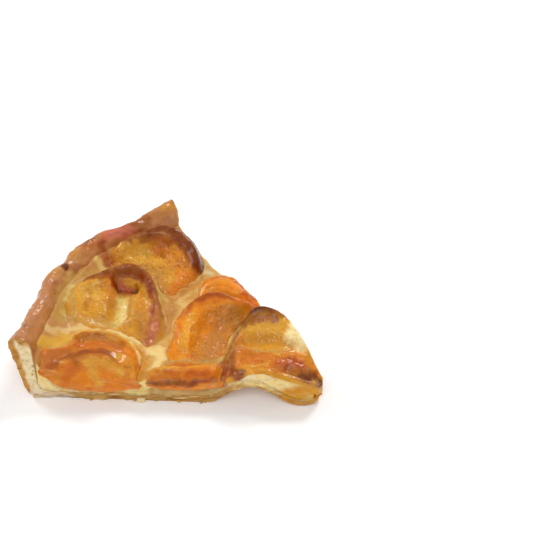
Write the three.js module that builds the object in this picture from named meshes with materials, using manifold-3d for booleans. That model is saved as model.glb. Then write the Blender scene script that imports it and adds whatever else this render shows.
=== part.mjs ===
// A wedge of apricot tart as it lies on a table: a short crust with a tall rim, baked custard,
// and seven apricot pieces set in the custard. Millimetres, +Z up. The point of the wedge is
// at +X, the rim at -X, and one cut face looks along -Y.
import * as THREE from 'three';
import { mergeVertices } from 'three/addons/utils/BufferGeometryUtils.js';
import Module from 'manifold-3d';

// ---- driving dimensions ----------------------------------------------------------------
const CENTRE = [-0.51, 0.71]; // middle of the wedge's box in drawing coordinates
const APEX = [63.3, -48.2]; // where the two cut planes meet, in plan
const FRONT_CUT = 177.4; // directions of the cut planes from the apex, in degrees
const BACK_CUT = 123.9;
const TART_MIDDLE = [53, -46.5]; // centre of the rim's circle
const TIP_START = 4.5; // the point of the wedge is blunt by this much
const TIP_CURL = { rise: 3.4, length: 6 }; // and its underside curls up
const BASE_THICK = 3.4; // pastry under the filling
const GAP = 0.3; // clearance between neighbouring solids
const SLIVER = 0.02; // cuts leave nothing finer than this

// The rim by its direction from the apex: outer radius, wall thickness and crest height.
const RIM = [
  { at: 123, radius: 111, wall: 6.8, crest: 29.5 },
  { at: 128, radius: 109.5, wall: 8, crest: 28.8 },
  { at: 133, radius: 108.4, wall: 8, crest: 28.5 },
  { at: 137, radius: 109.3, wall: 6.2, crest: 28.5 },
  { at: 142, radius: 113.6, wall: 8, crest: 28 },
  { at: 148, radius: 113.3, wall: 8.8, crest: 28.8 },
  { at: 153, radius: 112.6, wall: 8.4, crest: 28.5 },
  { at: 158.5, radius: 113.4, wall: 8.8, crest: 28.4 },
  { at: 165, radius: 110.9, wall: 7.8, crest: 29.2 },
  { at: 171, radius: 111.7, wall: 8.2, crest: 29.8 },
  { at: 178, radius: 115.2, wall: 9.8, crest: 31 },
];

// The point of the wedge has lifted off the table in a low arch.
const ARCH = { height: 9.4, middle: 31, toTip: 20, toRim: 19 };

const CUSTARD_LEVEL = 15;
const CUSTARD_OVER_ARCH = 7.4; // custard top above the lifted underside
const CUSTARD_START = 7;
const CUSTARD_IN_WALL = 2;
const CUSTARD_CLIMB = 7; // the block's underside climbs by this inside the wall
const FRUIT_FLOOR = 5.2; // underside of the fruit above the underside of the crust
const FRUIT_THIN = 3; // fruit is nowhere thinner than this
const EDGE_ROUND = 1.2; // the upper edge of the fruit is rounded off by this
const FRUIT_WALL_GAP = 1.8; // fruit stays this far from the rim's inner face
const ABOVE_ALL = 40;

const CRUST_STEPS = { base: 18, wall: 10, round: 28 };
const CUSTARD_STEPS = { along: 16, round: 18 };
const FRUIT_STEPS = { round: 32, radial: 8 };

// ---- the fruit ---------------------------------------------------------------------------
// edge: plan outline with the height of its upper edge. lines: curves that the upper side
// passes through, such as a raised lip, a fold or the hollow left by the stone. soft is how
// wide each of them is.
const FRUIT = [
  {
    name: 'apricot_back', colour: 0xcf8a3c, middle: [-8, 19],
    edge: [[-29, 22, 23], [-24, 28.2, 25.5], [-14, 31.5, 26], [-3, 32.6, 26], [5, 30, 25],
      [11, 23.6, 21.5], [13, 16, 17.5], [9, 10, 16], [2, 2.5, 15.5], [-3.5, 0.5, 15.5],
      [-8.5, 8.5, 17], [-18, 13, 18], [-28, 17, 20]],
    lines: [
      { soft: 1.6, path: [[-25, 23.6, 26.4], [-17, 25.6, 28.8], [-9, 28, 29.4],
        [-2, 28.6, 29.4], [3.4, 25.8, 28], [7.4, 21, 25.8], [10, 16.5, 21.5]] },
      { soft: 3, path: [[-19, 18.5, 20.5], [-10, 21, 20], [-3, 19, 20]] },
      { soft: 3, path: [[5, 13, 19], [0, 6, 17.5]] },
    ],
  },
  {
    name: 'apricot_left', colour: 0xc98632, middle: [-22, -8],
    edge: [[-42.5, -14.5, 21], [-42, -8, 23.5], [-37.5, -0.4, 25], [-29, 4.4, 25.4],
      [-20, 9, 25.6], [-11.6, 7, 25], [-7, 0.6, 23.5], [-4.3, -8, 21.5], [-2, -17, 18.5],
      [-3, -25, 16.5], [-7.5, -31.5, 15], [-12.5, -27, 16], [-22, -22.8, 17],
      [-34, -22.6, 19.5]],
    lines: [
      { soft: 1.6, path: [[-33, 0.9, 25.9], [-25, 4, 28], [-18.5, 5.6, 28.7],
        [-13, 4.2, 28.2], [-9, -0.6, 27], [-6.5, -8, 24.2], [-5, -15, 21.5],
        [-5, -23, 18.5]] },
      { soft: 1.2, path: [[-21, -1, 16], [-16, -3, 15.5]] },
      { soft: 2.5, path: [[-34, -7, 22], [-28, -6.5, 22], [-27.5, -14, 20.5]] },
      { soft: 1.5, path: [[-21, -8, 16], [-21.5, -16, 15.5]] },
      { soft: 2, path: [[-12.5, -8, 22], [-11, -17, 20]] },
    ],
  },
  {
    name: 'apricot_front', colour: 0xd9822c, middle: [-27, -36],
    edge: [[-51.5, -40, 22.5], [-45, -37.2, 22], [-40, -33, 21], [-37.6, -26.4, 20.8],
      [-29, -24.1, 20.4], [-20, -26.1, 19.4], [-12.5, -31.1, 17.4], [-9.4, -37, 14.4],
      [-10, -42, 10], [-16, -50, 11], [-30, -52, 12], [-44, -50, 12], [-55, -44, 16]],
    lines: [
      { soft: 0.8, path: [[-45.5, -41.5, 16.8], [-38, -37.6, 17.6], [-31.5, -35, 18.2],
        [-25, -35, 17.6], [-20, -37.5, 16.2], [-18, -40, 14.2]] },
      { soft: 1.6, path: [[-42, -43, 18.2], [-36, -40, 20], [-30, -37.8, 20.6],
        [-24, -38, 20], [-19.5, -41, 16.6]] },
      { soft: 2, path: [[-36, -42.5, 16.5], [-24, -42.3, 16.5]] },
      { soft: 1.5, path: [[-35, -29, 18.2], [-25, -28.8, 17.6], [-17, -32.5, 16.2]] },
      { soft: 1.6, path: [[-49, -40.8, 21.6], [-43, -38.6, 20.4]] },
    ],
  },
  {
    name: 'apricot_middle', colour: 0xd8822e, middle: [14, -24],
    edge: [[-1.4, -37, 16], [0, -28, 17.8], [1, -20, 19.8], [4.5, -12.6, 21],
      [11, -7.6, 22.2], [18, -5.6, 22.8], [25, -7.2, 22.2], [33, -8.8, 20.6],
      [36, -11.5, 19], [30.5, -17, 18.5], [26.5, -22.5, 17.5], [23.8, -29, 16],
      [21, -37, 15], [10, -39.5, 15]],
    lines: [
      { soft: 1.5, path: [[7.2, -12.6, 23], [13, -9.2, 24.8], [19, -8.2, 25.2],
        [25, -10, 24.2], [31, -11.2, 22.4]] },
      { soft: 3, path: [[5, -30, 18.8], [6, -21, 20.4]] },
      { soft: 3, path: [[14, -34, 15.6], [18, -22, 16.2]] },
    ],
  },
  {
    name: 'apricot_side', colour: 0xdd8638, middle: [22, 0],
    edge: [[9.5, 3, 16.5], [11.5, 8.7, 17.2], [17, 11.4, 18.4], [24, 10, 19], [31, 3, 19],
      [37, -5, 18.4], [33, -8, 17.5], [25, -6.2, 17.5], [18, -4.5, 17], [12, -3.5, 16]],
    lines: [
      { soft: 2, path: [[14, 5.8, 18.8], [21, 5.4, 20.2], [28, -1.4, 20.8], [33, -5, 20]] },
    ],
  },
  {
    name: 'apricot_tip', colour: 0xd8893c, middle: [39, -34],
    edge: [[23.6, -36, 16.8], [26, -29.5, 19.8], [29.4, -21.6, 22.6], [34, -18.4, 25.4],
      [40.4, -18.6, 25.6], [50, -24, 24.8], [58, -33, 22.4], [67, -46, 12], [63, -54, 11],
      [46, -54, 13], [39, -50, 16], [34.7, -45, 18], [31, -49, 14], [24, -49, 12],
      [22.6, -42, 12.5]],
    lines: [
      { soft: 1.6, path: [[29.2, -23.2, 24.6], [33.5, -20.8, 28.2], [38, -20.6, 28.4],
        [43, -22.4, 27.8]] },
      { soft: 3, path: [[33, -28.5, 23.6], [41, -28.5, 24.2], [49, -32, 23.6]] },
      { soft: 1, path: [[27.5, -33, 18], [37, -34.5, 19.5], [46, -36, 19.8], [53, -37, 18.5]] },
      { soft: 2, path: [[29, -41, 16], [38, -39.5, 19], [47, -41, 18.5], [54, -43.5, 16]] },
    ],
  },
  {
    name: 'apricot_strip', colour: 0xb9682c, middle: [6.5, -43.5],
    edge: [[-8.8, -44, 12], [-7, -41.3, 14.8], [6, -40.3, 15.8], [20.5, -39.3, 15.2],
      [22, -43, 12.5], [19, -50, 11.5], [5, -51, 12], [-6, -49, 11]],
    lines: [
      { soft: 1.2, path: [[-4, -43.2, 15.5], [8, -43, 16], [18, -42.5, 15.2]] },
    ],
  },
];

// ---- small helpers -----------------------------------------------------------------------
const radians = THREE.MathUtils.degToRad;
const mix = THREE.MathUtils.lerp;
const smooth = THREE.MathUtils.smoothstep;

function curveThrough(points, closed) {
  const vectors = points.map(([x, y, z]) => new THREE.Vector3(x, y, z));
  return new THREE.CatmullRomCurve3(vectors, closed, 'catmullrom', 0.5);
}

// A rim measure at a direction from the apex, on a smooth curve through the table's values.
function rimValue(key, degrees) {
  const last = RIM.length - 1;
  const after = RIM.findIndex((row) => row.at > degrees);
  const i = THREE.MathUtils.clamp(after - 1, 0, last - 1);
  const slope = (k) => {
    const [a, b] = [RIM[Math.max(k - 1, 0)], RIM[Math.min(k + 1, last)]];
    return (b[key] - a[key]) / (b.at - a.at);
  };
  const span = RIM[i + 1].at - RIM[i].at;
  const t = THREE.MathUtils.clamp((degrees - RIM[i].at) / span, 0, 1);
  const bend = slope(i) * (1 - t) - slope(i + 1) * t;
  const step = (RIM[i + 1][key] - RIM[i][key]) * (1 - 2 * t);
  return mix(RIM[i][key], RIM[i + 1][key], t) + t * (1 - t) * (span * bend - step);
}

// Distance from the apex to the rim's outer crest, along a direction.
function rimReach(degrees) {
  const a = radians(degrees);
  const dx = APEX[0] - TART_MIDDLE[0];
  const dy = APEX[1] - TART_MIDDLE[1];
  const along = Math.cos(a) * dx + Math.sin(a) * dy;
  const radius = rimValue('radius', degrees);
  return -along + Math.sqrt(radius * radius - dx * dx - dy * dy + along * along);
}

function fromApex(distance, degrees, z) {
  const a = radians(degrees);
  return [APEX[0] + distance * Math.cos(a), APEX[1] + distance * Math.sin(a), z];
}

function polar(x, y) {
  const dx = x - APEX[0];
  const dy = y - APEX[1];
  return [Math.hypot(dx, dy), THREE.MathUtils.radToDeg(Math.atan2(dy, dx))];
}

function lift(distance) {
  const offset = distance - ARCH.middle;
  const share = offset / (offset > 0 ? ARCH.toRim : ARCH.toTip);
  return Math.abs(share) < 1 ? ARCH.height * Math.cos((share * Math.PI) / 2) ** 2 : 0;
}

// Height of the custard, which climbs where it meets the rim.
function custardTop(distance, degrees) {
  const fromWall = rimReach(degrees) - rimValue('wall', degrees) - distance;
  const climb = mix(4, 9, smooth(degrees, 130, 150)) * Math.exp(-Math.max(fromWall, 0) / 7);
  const dip = 2.5 * (1 - smooth(degrees, 123, 131)) * Math.exp(-(((distance - 86) / 12) ** 2));
  const flat = mix(lift(distance) + CUSTARD_OVER_ARCH, CUSTARD_LEVEL, smooth(distance, 38, 58));
  const fromFront = distance * Math.sin(radians(FRONT_CUT - degrees));
  const slump = 5.5 * smooth(distance, 45, 60) * Math.exp(-((fromFront / 4) ** 2));
  return flat + climb - dip - slump;
}

// How far a plan point lies inside the two cuts and the rim's inner face.
function inside(x, y) {
  const [distance, degrees] = polar(x, y);
  const turned = degrees < 0 ? degrees + 360 : degrees;
  const front = distance * Math.sin(radians(FRONT_CUT - turned));
  const back = distance * Math.sin(radians(turned - BACK_CUT));
  const direction = THREE.MathUtils.clamp(turned, BACK_CUT, FRONT_CUT);
  const wall = rimReach(direction) - rimValue('wall', direction) - FRUIT_WALL_GAP - distance;
  return Math.min(front, back, wall, distance - TIP_START);
}

function geometryOf(positions, triangles) {
  const geometry = new THREE.BufferGeometry();
  geometry.setAttribute('position', new THREE.Float32BufferAttribute(positions, 3));
  geometry.setIndex(triangles);
  return geometry;
}

function quad(triangles, a, b, c, d) {
  triangles.push(a, b, c, a, c, d);
}

// A closed solid from one closed section at each step, its two ends filled as strips. Each
// section runs out along its lower path and back along its upper path.
function sweep(sections) {
  const positions = [];
  const triangles = [];
  const size = sections[0].length;
  const half = size / 2;
  for (const section of sections) {
    for (const point of section) {
      positions.push(...point);
    }
  }
  for (let j = 0; j + 1 < sections.length; j++) {
    for (let i = 0; i < size; i++) {
      const k = (i + 1) % size;
      quad(triangles, j * size + i, j * size + k, (j + 1) * size + k, (j + 1) * size + i);
    }
  }
  const end = (sections.length - 1) * size;
  for (let i = 0; i + 1 < half; i++) {
    const across = size - 1 - i;
    quad(triangles, i, across, across - 1, i + 1);
    quad(triangles, end + i, end + i + 1, end + across - 1, end + across);
  }
  return geometryOf(positions, triangles);
}

// ---- crust -------------------------------------------------------------------------------
// Lower, outer side of the wall: round its foot, up the lean and onto the crest.
function outerWall(reach, degrees) {
  const crest = rimValue('crest', degrees);
  return [[reach - 9.5, 0], [reach - 7, 1.2], [reach - 4.8, 5], [reach - 3.4, 11],
    [reach - 1.8, 19], [reach - 0.5, crest - 5], [reach, crest - 2],
    [reach - 1.6, crest - 0.2]];
}

// Upper, inner side: out of the pastry base, up the inside and onto the crest.
function innerWall(reach, degrees, grow) {
  const crest = rimValue('crest', degrees);
  const wall = reach - rimValue('wall', degrees) - grow;
  const base = BASE_THICK + grow;
  return [[wall - 7, base], [wall - 2.6, base + 0.8], [wall - 0.6, base + 3.5], [wall, 13],
    [wall + 0.4, 19], [wall + 1.2, crest - 4.5], [mix(wall, reach, 0.4), crest - 1.3],
    [mix(wall, reach, 0.65), crest]];
}

function tipCurl(distance) {
  const share = 1 - (distance - TIP_START) / TIP_CURL.length;
  return TIP_CURL.rise * THREE.MathUtils.clamp(share, 0, 1) ** 2;
}

// One side of a section: along the base at height z, then up the wall.
function crustPath(start, z, wall) {
  const path = [];
  for (let i = 0; i < CRUST_STEPS.base; i++) {
    const distance = mix(start, wall[0][0], i / CRUST_STEPS.base);
    path.push([distance, z + tipCurl(distance) * (1 - 0.5 * Math.sign(z))]);
  }
  const curve = curveThrough(wall.map(([d, height]) => [d, 0, height]), false);
  path.push(...curve.getPoints(CRUST_STEPS.wall).map((p) => [p.x, Math.max(p.z, 0)]));
  return path.map(([distance, height]) => [distance, height + lift(distance)]);
}

function crustSection(degrees, grow) {
  const reach = rimReach(degrees);
  const outer = crustPath(TIP_START, 0, outerWall(reach, degrees));
  const start = TIP_START + 1.2 - 3 * grow;
  const inner = crustPath(start, BASE_THICK + grow, innerWall(reach, degrees, grow));
  return [...outer, ...inner.reverse()].map(([distance, z]) => fromApex(distance, degrees, z));
}

// grow thickens the crust inwards and past both cuts, to cut the custard clear of it.
function crust(grow) {
  const past = 4 * grow;
  const sections = [];
  for (let j = 0; j <= CRUST_STEPS.round; j++) {
    const share = j / CRUST_STEPS.round;
    sections.push(crustSection(mix(FRONT_CUT + past, BACK_CUT - past, share), grow));
  }
  return sweep(sections);
}

// ---- custard -----------------------------------------------------------------------------
// The custard's block reaches into the pastry, which is then cut away from it.
function custardSection(degrees) {
  const reach = rimReach(degrees);
  const edge = reach - rimValue('wall', degrees) + CUSTARD_IN_WALL;
  const low = [];
  const high = [];
  for (let i = 0; i <= CUSTARD_STEPS.along; i++) {
    const distance = mix(CUSTARD_START, edge, i / CUSTARD_STEPS.along);
    const climb = CUSTARD_CLIMB * smooth(distance, edge - CUSTARD_CLIMB, edge);
    const inCrust = (BASE_THICK + tipCurl(distance)) / 2;
    low.push([distance, inCrust + lift(distance) + climb]);
    high.unshift([distance, custardTop(distance, degrees)]);
  }
  return [...low, ...high].map(([distance, z]) => fromApex(distance, degrees, z));
}

function custard() {
  const sections = [];
  for (let j = 0; j <= CUSTARD_STEPS.round; j++) {
    sections.push(custardSection(mix(FRONT_CUT, BACK_CUT, j / CUSTARD_STEPS.round)));
  }
  return sweep(sections);
}

// ---- fruit -------------------------------------------------------------------------------
// Distance from a plan point to a sampled curve, and the curve's height there.
function nearest(samples, x, y) {
  let best = { distance: Infinity, z: 0 };
  for (let i = 0; i + 1 < samples.length; i++) {
    const a = samples[i];
    const b = samples[i + 1];
    const length = (b.x - a.x) ** 2 + (b.y - a.y) ** 2;
    const along = ((x - a.x) * (b.x - a.x) + (y - a.y) * (b.y - a.y)) / length;
    const t = THREE.MathUtils.clamp(along, 0, 1);
    const distance = Math.hypot(x - mix(a.x, b.x, t), y - mix(a.y, b.y, t));
    if (distance < best.distance) {
      best = { distance, z: mix(a.z, b.z, t) };
    }
  }
  return best;
}

function fruitFloor(x, y) {
  return FRUIT_FLOOR + lift(polar(x, y)[0]);
}

// The upper side blends the edge's height with every line's, the nearer the stronger.
function fruitHeight(lines, edge, x, y, edgeDistance) {
  let weight = (edgeDistance ** 2 + 1) ** -1.5;
  let sum = weight * edge;
  for (const { soft, samples } of lines) {
    const { distance, z } = nearest(samples, x, y);
    const share = (distance ** 2 + soft ** 2) ** -1.5;
    weight += share;
    sum += share * z;
  }
  return sum / weight;
}

// Outline points of a piece, drawn in to the two cuts and the rim where it would cross them.
function fruitOutline({ middle, edge }) {
  const outline = curveThrough(edge, true);
  const points = [];
  for (let i = 0; i < FRUIT_STEPS.round; i++) {
    const { x, y, z } = outline.getPoint(i / FRUIT_STEPS.round);
    let low = 0;
    let high = 1;
    for (let k = 0; k < 20; k++) {
      const share = (low + high) / 2;
      const isIn = inside(mix(middle[0], x, share), mix(middle[1], y, share)) > 0;
      low = isIn ? share : low;
      high = isIn ? high : share;
    }
    const reach = high > 0.999 ? 1 : low;
    points.push([mix(middle[0], x, reach), mix(middle[1], y, reach), z]);
  }
  return points;
}

// A closed solid from rings of one size and a point to close each end.
function shell(rings, top, bottom) {
  const triangles = [];
  const count = rings[0].length;
  for (let i = 0; i < count; i++) {
    const k = (i + 1) % count;
    triangles.push(0, k + 2, i + 2);
    for (let j = 0; j + 1 < rings.length; j++) {
      const [a, b] = [j * count + 2, (j + 1) * count + 2];
      quad(triangles, a + i, a + k, b + k, b + i);
    }
    const last = (rings.length - 1) * count + 2;
    triangles.push(1, last + i, last + k);
  }
  return geometryOf([top, bottom, ...rings.flat()].flat(), triangles);
}

function fruit(piece) {
  const outline = fruitOutline(piece);
  const [cx, cy] = piece.middle;
  const lines = piece.lines.map(({ soft, path }) => ({
    soft,
    samples: curveThrough(path, false).getPoints(12),
  }));
  const topPoint = (x, y, edge, edgeDistance) => {
    const rounded = EDGE_ROUND * Math.max(0, 1 - edgeDistance / 2.5) ** 2;
    const z = fruitHeight(lines, edge, x, y, edgeDistance) - rounded;
    return [x, y, Math.max(z, fruitFloor(x, y) + FRUIT_THIN)];
  };
  const rings = [];
  for (let j = 1; j <= FRUIT_STEPS.radial; j++) {
    const share = (j / FRUIT_STEPS.radial) ** 0.85;
    rings.push(outline.map(([x, y, z]) => {
      const edgeDistance = (1 - share) * Math.hypot(x - cx, y - cy);
      return topPoint(mix(cx, x, share), mix(cy, y, share), z, edgeDistance);
    }));
  }
  rings.push(outline.map(([x, y]) => [x, y, fruitFloor(x, y)]));
  rings.push(outline.map(([x, y]) => {
    const [mx, my] = [mix(cx, x, 0.5), mix(cy, y, 0.5)];
    return [mx, my, fruitFloor(mx, my)];
  }));
  const [x, y, z] = outline[0];
  const top = topPoint(cx, cy, z, Math.hypot(x - cx, y - cy));
  return shell(rings, top, [cx, cy, fruitFloor(cx, cy)]);
}

// The room that a piece takes in the custard, open above.
function fruitRoom(piece) {
  const [cx, cy] = piece.middle;
  const at = (share, height) => fruitOutline(piece).map(([x, y]) => {
    const part = share * (1 + GAP / Math.hypot(x - cx, y - cy));
    const [px, py] = [mix(cx, x, part), mix(cy, y, part)];
    return [px, py, height ?? fruitFloor(px, py) - GAP];
  });
  const rings = [at(1, ABOVE_ALL), at(1), at(0.5)];
  return shell(rings, [cx, cy, ABOVE_ALL], [cx, cy, fruitFloor(cx, cy) - GAP]);
}

// ---- joins and cuts ----------------------------------------------------------------------
const wasm = await Module();
wasm.setup();

function solidOf(geometry) {
  const merged = mergeVertices(geometry, 1e-5);
  return new wasm.Manifold(new wasm.Mesh({
    numProp: 3,
    vertProperties: new Float32Array(merged.attributes.position.array),
    triVerts: new Uint32Array(merged.index.array),
  }));
}

function backToGeometry(solid) {
  const mesh = solid.getMesh();
  return geometryOf(Array.from(mesh.vertProperties), Array.from(mesh.triVerts));
}

// ---- the tart ----------------------------------------------------------------------------
const group = new THREE.Group();

function add(name, geometry, colour, roughness) {
  geometry.computeVertexNormals();
  const material = new THREE.MeshStandardMaterial({ color: colour, roughness, metalness: 0 });
  const mesh = new THREE.Mesh(geometry, material);
  mesh.name = name;
  mesh.position.set(-CENTRE[0], -CENTRE[1], 0);
  group.add(mesh);
}

add('crust', crust(0), 0xc08850, 0.45);

let filling = solidOf(custard()).subtract(solidOf(crust(GAP)));
for (const piece of FRUIT) {
  filling = filling.subtract(solidOf(fruitRoom(piece)));
}
add('custard', backToGeometry(filling.simplify(SLIVER)), 0xe8d890, 0.35);

for (const piece of FRUIT) {
  add(piece.name, fruit(piece), piece.colour, 0.3);
}

export default group;
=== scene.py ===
"""Looks of a wedge of apricot tart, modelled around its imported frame.

Tables are in millimetres in the drawing's axes: +Z up, the wedge's point at +X, its rim at -X.
Pieces are made at high resolution from the same named sizes as the solids that they stand for,
with wrinkles, pores, flakes and browning added, and are then moved to the frame, in metres."""
import math
import bpy
import numpy as np
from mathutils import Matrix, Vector


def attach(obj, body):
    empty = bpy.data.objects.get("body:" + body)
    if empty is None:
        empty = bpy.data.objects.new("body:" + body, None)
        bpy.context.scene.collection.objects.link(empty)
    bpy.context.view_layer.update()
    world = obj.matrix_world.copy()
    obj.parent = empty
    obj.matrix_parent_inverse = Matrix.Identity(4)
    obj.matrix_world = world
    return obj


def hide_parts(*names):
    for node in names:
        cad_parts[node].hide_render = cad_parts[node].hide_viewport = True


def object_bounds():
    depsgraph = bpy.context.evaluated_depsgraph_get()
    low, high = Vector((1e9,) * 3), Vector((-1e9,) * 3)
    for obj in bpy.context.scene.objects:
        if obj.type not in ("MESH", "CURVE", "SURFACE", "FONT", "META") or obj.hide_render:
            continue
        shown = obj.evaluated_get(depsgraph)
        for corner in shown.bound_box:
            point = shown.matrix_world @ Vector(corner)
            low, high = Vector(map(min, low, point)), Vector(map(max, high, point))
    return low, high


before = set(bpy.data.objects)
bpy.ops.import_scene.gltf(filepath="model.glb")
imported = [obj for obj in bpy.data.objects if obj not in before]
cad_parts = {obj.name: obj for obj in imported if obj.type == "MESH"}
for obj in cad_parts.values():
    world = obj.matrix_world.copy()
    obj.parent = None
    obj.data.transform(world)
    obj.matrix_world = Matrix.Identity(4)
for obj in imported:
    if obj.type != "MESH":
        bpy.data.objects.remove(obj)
CAD_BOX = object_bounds()

# ---- driving dimensions -------------------------------------------------------------------
MM = 0.001
CENTRE = (-0.51, 0.71)  # middle of the wedge's box in drawing axes
APEX = (63.3, -48.2)  # where the two cut planes meet, in plan
FRONT_CUT = 177.4  # directions of the cut planes from the apex, in degrees
BACK_CUT = 123.9
TART_MIDDLE = (53, -46.5)
TIP_START = 4.5
TIP_CURL = {"rise": 3.4, "length": 6}
BASE_THICK = 3.4
ARCH = {"height": 9.4, "middle": 31, "to_tip": 20, "to_rim": 19}
CUSTARD_LEVEL = 15
CUSTARD_OVER_ARCH = 7.4
CUSTARD_START = 6
CUSTARD_IN_WALL = 2
FRUIT_FLOOR = 5.2
FRUIT_THIN = 3
FRUIT_WALL_GAP = 1.2
EDGE_ROUND = {"lip": 1.8, "low": 3.0, "cut": 1.2}  # of the upper edge of the fruit
LIP_HEIGHT = 22.6  # an edge above this is a raised lip
CUT_PROUD = 0.45  # fruit stands this far out of the cut faces
FRONT_OUT = np.array([-math.sin(math.radians(FRONT_CUT)), math.cos(math.radians(FRONT_CUT))])
BACK_OUT = np.array([math.sin(math.radians(BACK_CUT)), -math.cos(math.radians(BACK_CUT))])

# The rim by its direction from the apex: outer radius, wall thickness and crest height.
RIM = np.array([
    (123, 111.0, 6.8, 29.5), (128, 109.5, 8.0, 28.8), (133, 108.4, 8.0, 28.5),
    (137, 109.3, 6.2, 28.5), (142, 113.6, 8.0, 28.0), (148, 113.3, 8.8, 28.8),
    (153, 112.6, 8.4, 28.5), (158.5, 113.4, 8.8, 28.4), (165, 110.9, 7.8, 29.2),
    (171, 111.7, 8.2, 29.8), (178, 115.2, 9.8, 31.0)])
RADIUS, WALL, CREST = 1, 2, 3

CRUST_COUNTS = {"base": 140, "wall": 100, "round": 165, "across": 20}
CUSTARD_COUNTS = {"along": 230, "round": 150, "deep": 12}
FRUIT_COUNTS = {"round": 320, "radial": 100, "side": 22}
SMALL_FRUIT_COUNTS = {"round": 260, "radial": 56, "side": 18}

# ---- colours, as seen on the tart ---------------------------------------------------------
GLOSS_HAZE = 0.022  # white that the gloss adds to a colour, in linear light
COLOURS = {
    "gold": "D99A3C", "bright_gold": "E5AE4C", "yellow": "EAB544", "amber": "D48A34",
    "orange": "E08436", "bright_orange": "EE8E2A", "deep_orange": "C96A2C", "tan": "C08244",
    "bark": "A5672F", "red_brown": "98492A", "mahogany": "7C4329", "dark_brown": "5E3420",
    "near_black": "2E1810", "plum": "B06A4A", "pink": "CC7254", "red": "B24A2C", "cream": "F6D894",
    "pale_green": "E0C878", "custard": "D9AE68", "straw": "CCA05A", "dough": "F0DCB0",
    "dough_grey": "DCC492", "skin": "C48C4E", "skin_dark": "9A5F30", "rim": "C38452",
    "rim_dark": "A5653C", "rim_light": "CF935A", "rim_rose": "C48C6C", "honey": "D49428",
    "juice": "BE7E46", "milk": "ECDFC8", "flake": "BE935A", "pinkish_sheen": "E08068",
    "bright_cream": "FFE8A8",
}

# ---- the fruit ----------------------------------------------------------------------------
# edge: plan outline with the height of its upper edge. hem: (x, height) of the lower edge along
# the front cut, where bulge is how far the side swells. lines: (softness, path) of curves that the
# upper side passes through. ridges: (height, half width, path), raised or sunk by height. strokes
# of colour, mostly browning and in places painted shade and painted highlights: (colour, half
# width, strength, path), with the path in plan or, with a third number, in space. pores: (size,
# depth) of the flesh's cells, which speckle darkens.
FRUIT = {}
FRUIT["apricot_back"] = {
    "flesh": "gold", "pores": (1.5, 0.26), "speckle": 0.25, "counts": FRUIT_COUNTS, "middle": (-8, 19),
    "edge": [(-29, 22, 23), (-24, 28.2, 25.5), (-14, 31.5, 26), (-3, 32.6, 26), (5, 30, 25),
        (11, 23.6, 21.5), (13, 16, 17.5), (9, 10, 16), (2, 2.5, 15.5), (-3.5, 0.5, 15.5), (-8.5, 8.5, 17),
        (-18, 13, 18), (-28, 17, 20)],
    "lines": [
        (1.6, [(-25, 23.6, 26.4), (-17, 25.6, 28.8), (-9, 28, 29.4), (-2, 28.6, 29.4), (3.4, 25.8, 28),
            (7.4, 21, 25.8), (10, 16.5, 21.5)]),
        (3, [(-19, 18.5, 20.5), (-10, 21, 20), (-3, 19, 20)]),
        (3, [(5, 13, 19), (0, 6, 17.5)])],
    "ridges": [
        (0.7, 3.0, [(-24, 25.6), (-16, 27.6), (-9, 29.6), (-2, 30), (4.6, 27.2), (8.8, 21.8)]),
        (-0.6, 1.6, [(-19, 22.2), (-11, 24), (-4, 24.2), (1.4, 21.6), (5, 17)]),
        (0.6, 0.9, [(-7.4, 21.5), (-6, 23.4), (-3.6, 23), (-2.6, 20.6), (-2.2, 17.4)]),
        (-0.8, 1.1, [(-5.2, 21.6), (-4.3, 20)]),
        (0.6, 1.8, [(-24, 19.5), (-18, 17), (-13, 15)]),
        (0.6, 2.2, [(6.5, 13), (3.5, 8), (0, 4)])],
    "strokes": [
        ("bright_gold", 4.5, 0.6, [(-16, 19), (-11, 21), (-7, 20)]),
        ("orange", 4.2, 0.65, [(-6, 22), (-1, 21), (2.6, 17), (3, 13)]),
        ("straw", 3.0, 0.5, [(-13, 14.5), (-9, 13), (-6, 10.5)]),
        ("tan", 4.0, 0.9, [(-7, 9.5), (-5, 5), (-1.5, 2.4)]),
        ("orange", 4.4, 0.9, [(8.6, 14.4), (1, 3.5)]),
        ("deep_orange", 2.0, 0.7, [(10.8, 14), (8.6, 10), (5, 5.6)]),
        ("pink", 0.9, 0.7, [(-7.4, 21.5), (-6, 23.2), (-3.8, 22.8), (-2.8, 20.4)]),
        ("pink", 0.7, 0.6, [(-2.6, 19.6), (-2.2, 17)]),
        ("bark", 0.9, 0.7, [(-5.2, 21.6), (-4.3, 20)]),
        ("red_brown", 1.9, 0.75, [(-17, 24.6), (-10, 25), (-4.7, 25), (0.2, 23.4), (4, 20.6), (6.6, 18),
            (9.6, 15.8)]),
        ("mahogany", 5.2, 1.0, [(-21, 27), (-16, 29), (-5, 29.8), (0, 28.8), (4.6, 25.6), (11.4, 17)]),
        ("mahogany", 2.4, 0.9, [(-16, 27.4), (-9, 27.4), (-3, 27.2), (3, 24), (10, 16.4)]),
        ("dark_brown", 2.6, 0.9, [(-14, 30), (-7, 31), (0, 31), (6, 28), (11, 22), (12.4, 16.8)]),
        ("near_black", 0.9, 0.6, [(6, 28.6), (10.4, 23.6), (12.6, 18)]),
        ("red_brown", 3.0, 0.85, [(-28.6, 21.6), (-26, 24.6), (-21, 27)]),
        ("red", 2.4, 0.85, [(-28.6, 22.6), (-28, 19.6), (-26.2, 17.8)])]}
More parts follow.
